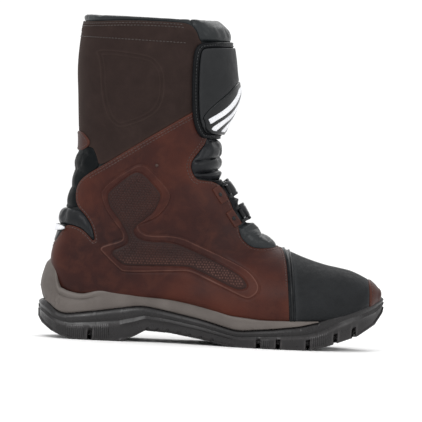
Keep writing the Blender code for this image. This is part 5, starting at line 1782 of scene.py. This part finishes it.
def make_midsole():
    """Grey foam midsole with a raised ledge, wrapped up behind the heel."""
    plan = smooth_plan(28)
    out = outward(plan)
    behind = plan[:, 0] < MIDSOLE_TIP
    first = int(np.argmax(behind & ~np.roll(behind, 1)))
    order = np.roll(np.arange(len(plan)), -first)
    order = order[behind[order]]
    plan, out = plan[order], out[order]
    x = plan[:, 0]
    taper = smooth(MIDSOLE_TIP - x, 0.0, 26)
    heel = smooth(-x, 30, 58)
    groove = 1.3 * smooth(-x, 4, 26) * smooth(x, -62, -50)
    bottom = line_height(x, MIDSOLE_BOTTOM, SOLE_SOFTNESS)
    top = line_height(x, MIDSOLE_TOP, SOLE_SOFTNESS * smooth(x, -50, -35))
    top = np.maximum(top, bottom + 0.25)
    lean_heights, leans = np.array(HEEL_LEAN).T
    rings = []
    for share, inset in MIDSOLE_PROFILE:
        height = bottom + (top - bottom) * share
        lean = np.interp(height, lean_heights, leans)
        shift = inset * (0.35 + 0.65 * taper) - 0.6 - groove * ridge(share, 0.66, 0.06)
        shift = np.where(height > lean_heights[0], shift + heel * (lean + 1.2), shift)
        rings.append((shift, height))
    inner = -MIDSOLE_INSET * taper - 4
    rings.append((inner + heel * np.interp(top, lean_heights, leans), top - 0.6 * taper))
    rings.append((inner, bottom))
    rings = [np.column_stack([plan + out * shift[:, None], height]) for shift, height in rings]
    points = np.stack(rings, axis=1)
    stations, around = points.shape[:2]
    share = np.tile([share for share, _ in MIDSOLE_PROFILE] + [0.5, 0.5], stations)
    wear = 0.6 * ridge(share, 0.92, 0.05)
    made = new_object("midsole_foam", points.reshape(-1, 3), tube_faces(stations, around), MIDSOLE,
                      {"wear": wear})
    shape = bmesh.new()
    shape.from_mesh(made.data)
    bmesh.ops.recalc_face_normals(shape, faces=shape.faces)
    shape.to_mesh(made.data)
    shape.free()
    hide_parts("midsole")
    rides("foot", made)


def make_rivet():
    """Small rivet in the medial quarter."""
    away = ((SKIN.place[:, [0, 2]] - RIVET_PLACE) ** 2).sum(axis=1)
    spot = np.where(SIDE < 0, away, np.inf).argmin()
    head = dome(SKIN.place[spot] + SKIN.normal[spot] * LEATHER_LIFT, SKIN.normal[spot], 1.5, 0.7)
    flexes(joined("quarter_rivet", [head], RIVET))


def finish_cad_nodes():
    """Procedural finishes for the CAD pieces that stay in view or lie inside."""
    finishes = {
        STEEL: ("steel_shank", "upper_strap_pin", "lower_strap_pin", "upper_lever_pin", "lower_lever_pin"),
        BOARD: ("lasting_board", "heel_counter", "toe_puff"),
        FOOTBED: ("footbed",),
        MOULDED: ("medial_ankle_cup", "lateral_ankle_cup"),
        UNDER_BLACK: ("shin_gusset",),
        WEBBING: ("loop_tape", "hook_tape"),
    }
    for finish, names in finishes.items():
        for name in names:
            materials = frame["nodes"][name].data.materials
            materials.clear()
            materials.append(finish)


make_upper()
make_lining()
make_collar()
make_achilles()
make_heel_parts()
make_front_bellows()
make_tongue()
make_toe()
make_flap()
for strap_facts in STRAPS:
    make_strap(*strap_facts)
make_outsole()
make_midsole()
make_rivet()
finish_cad_nodes()
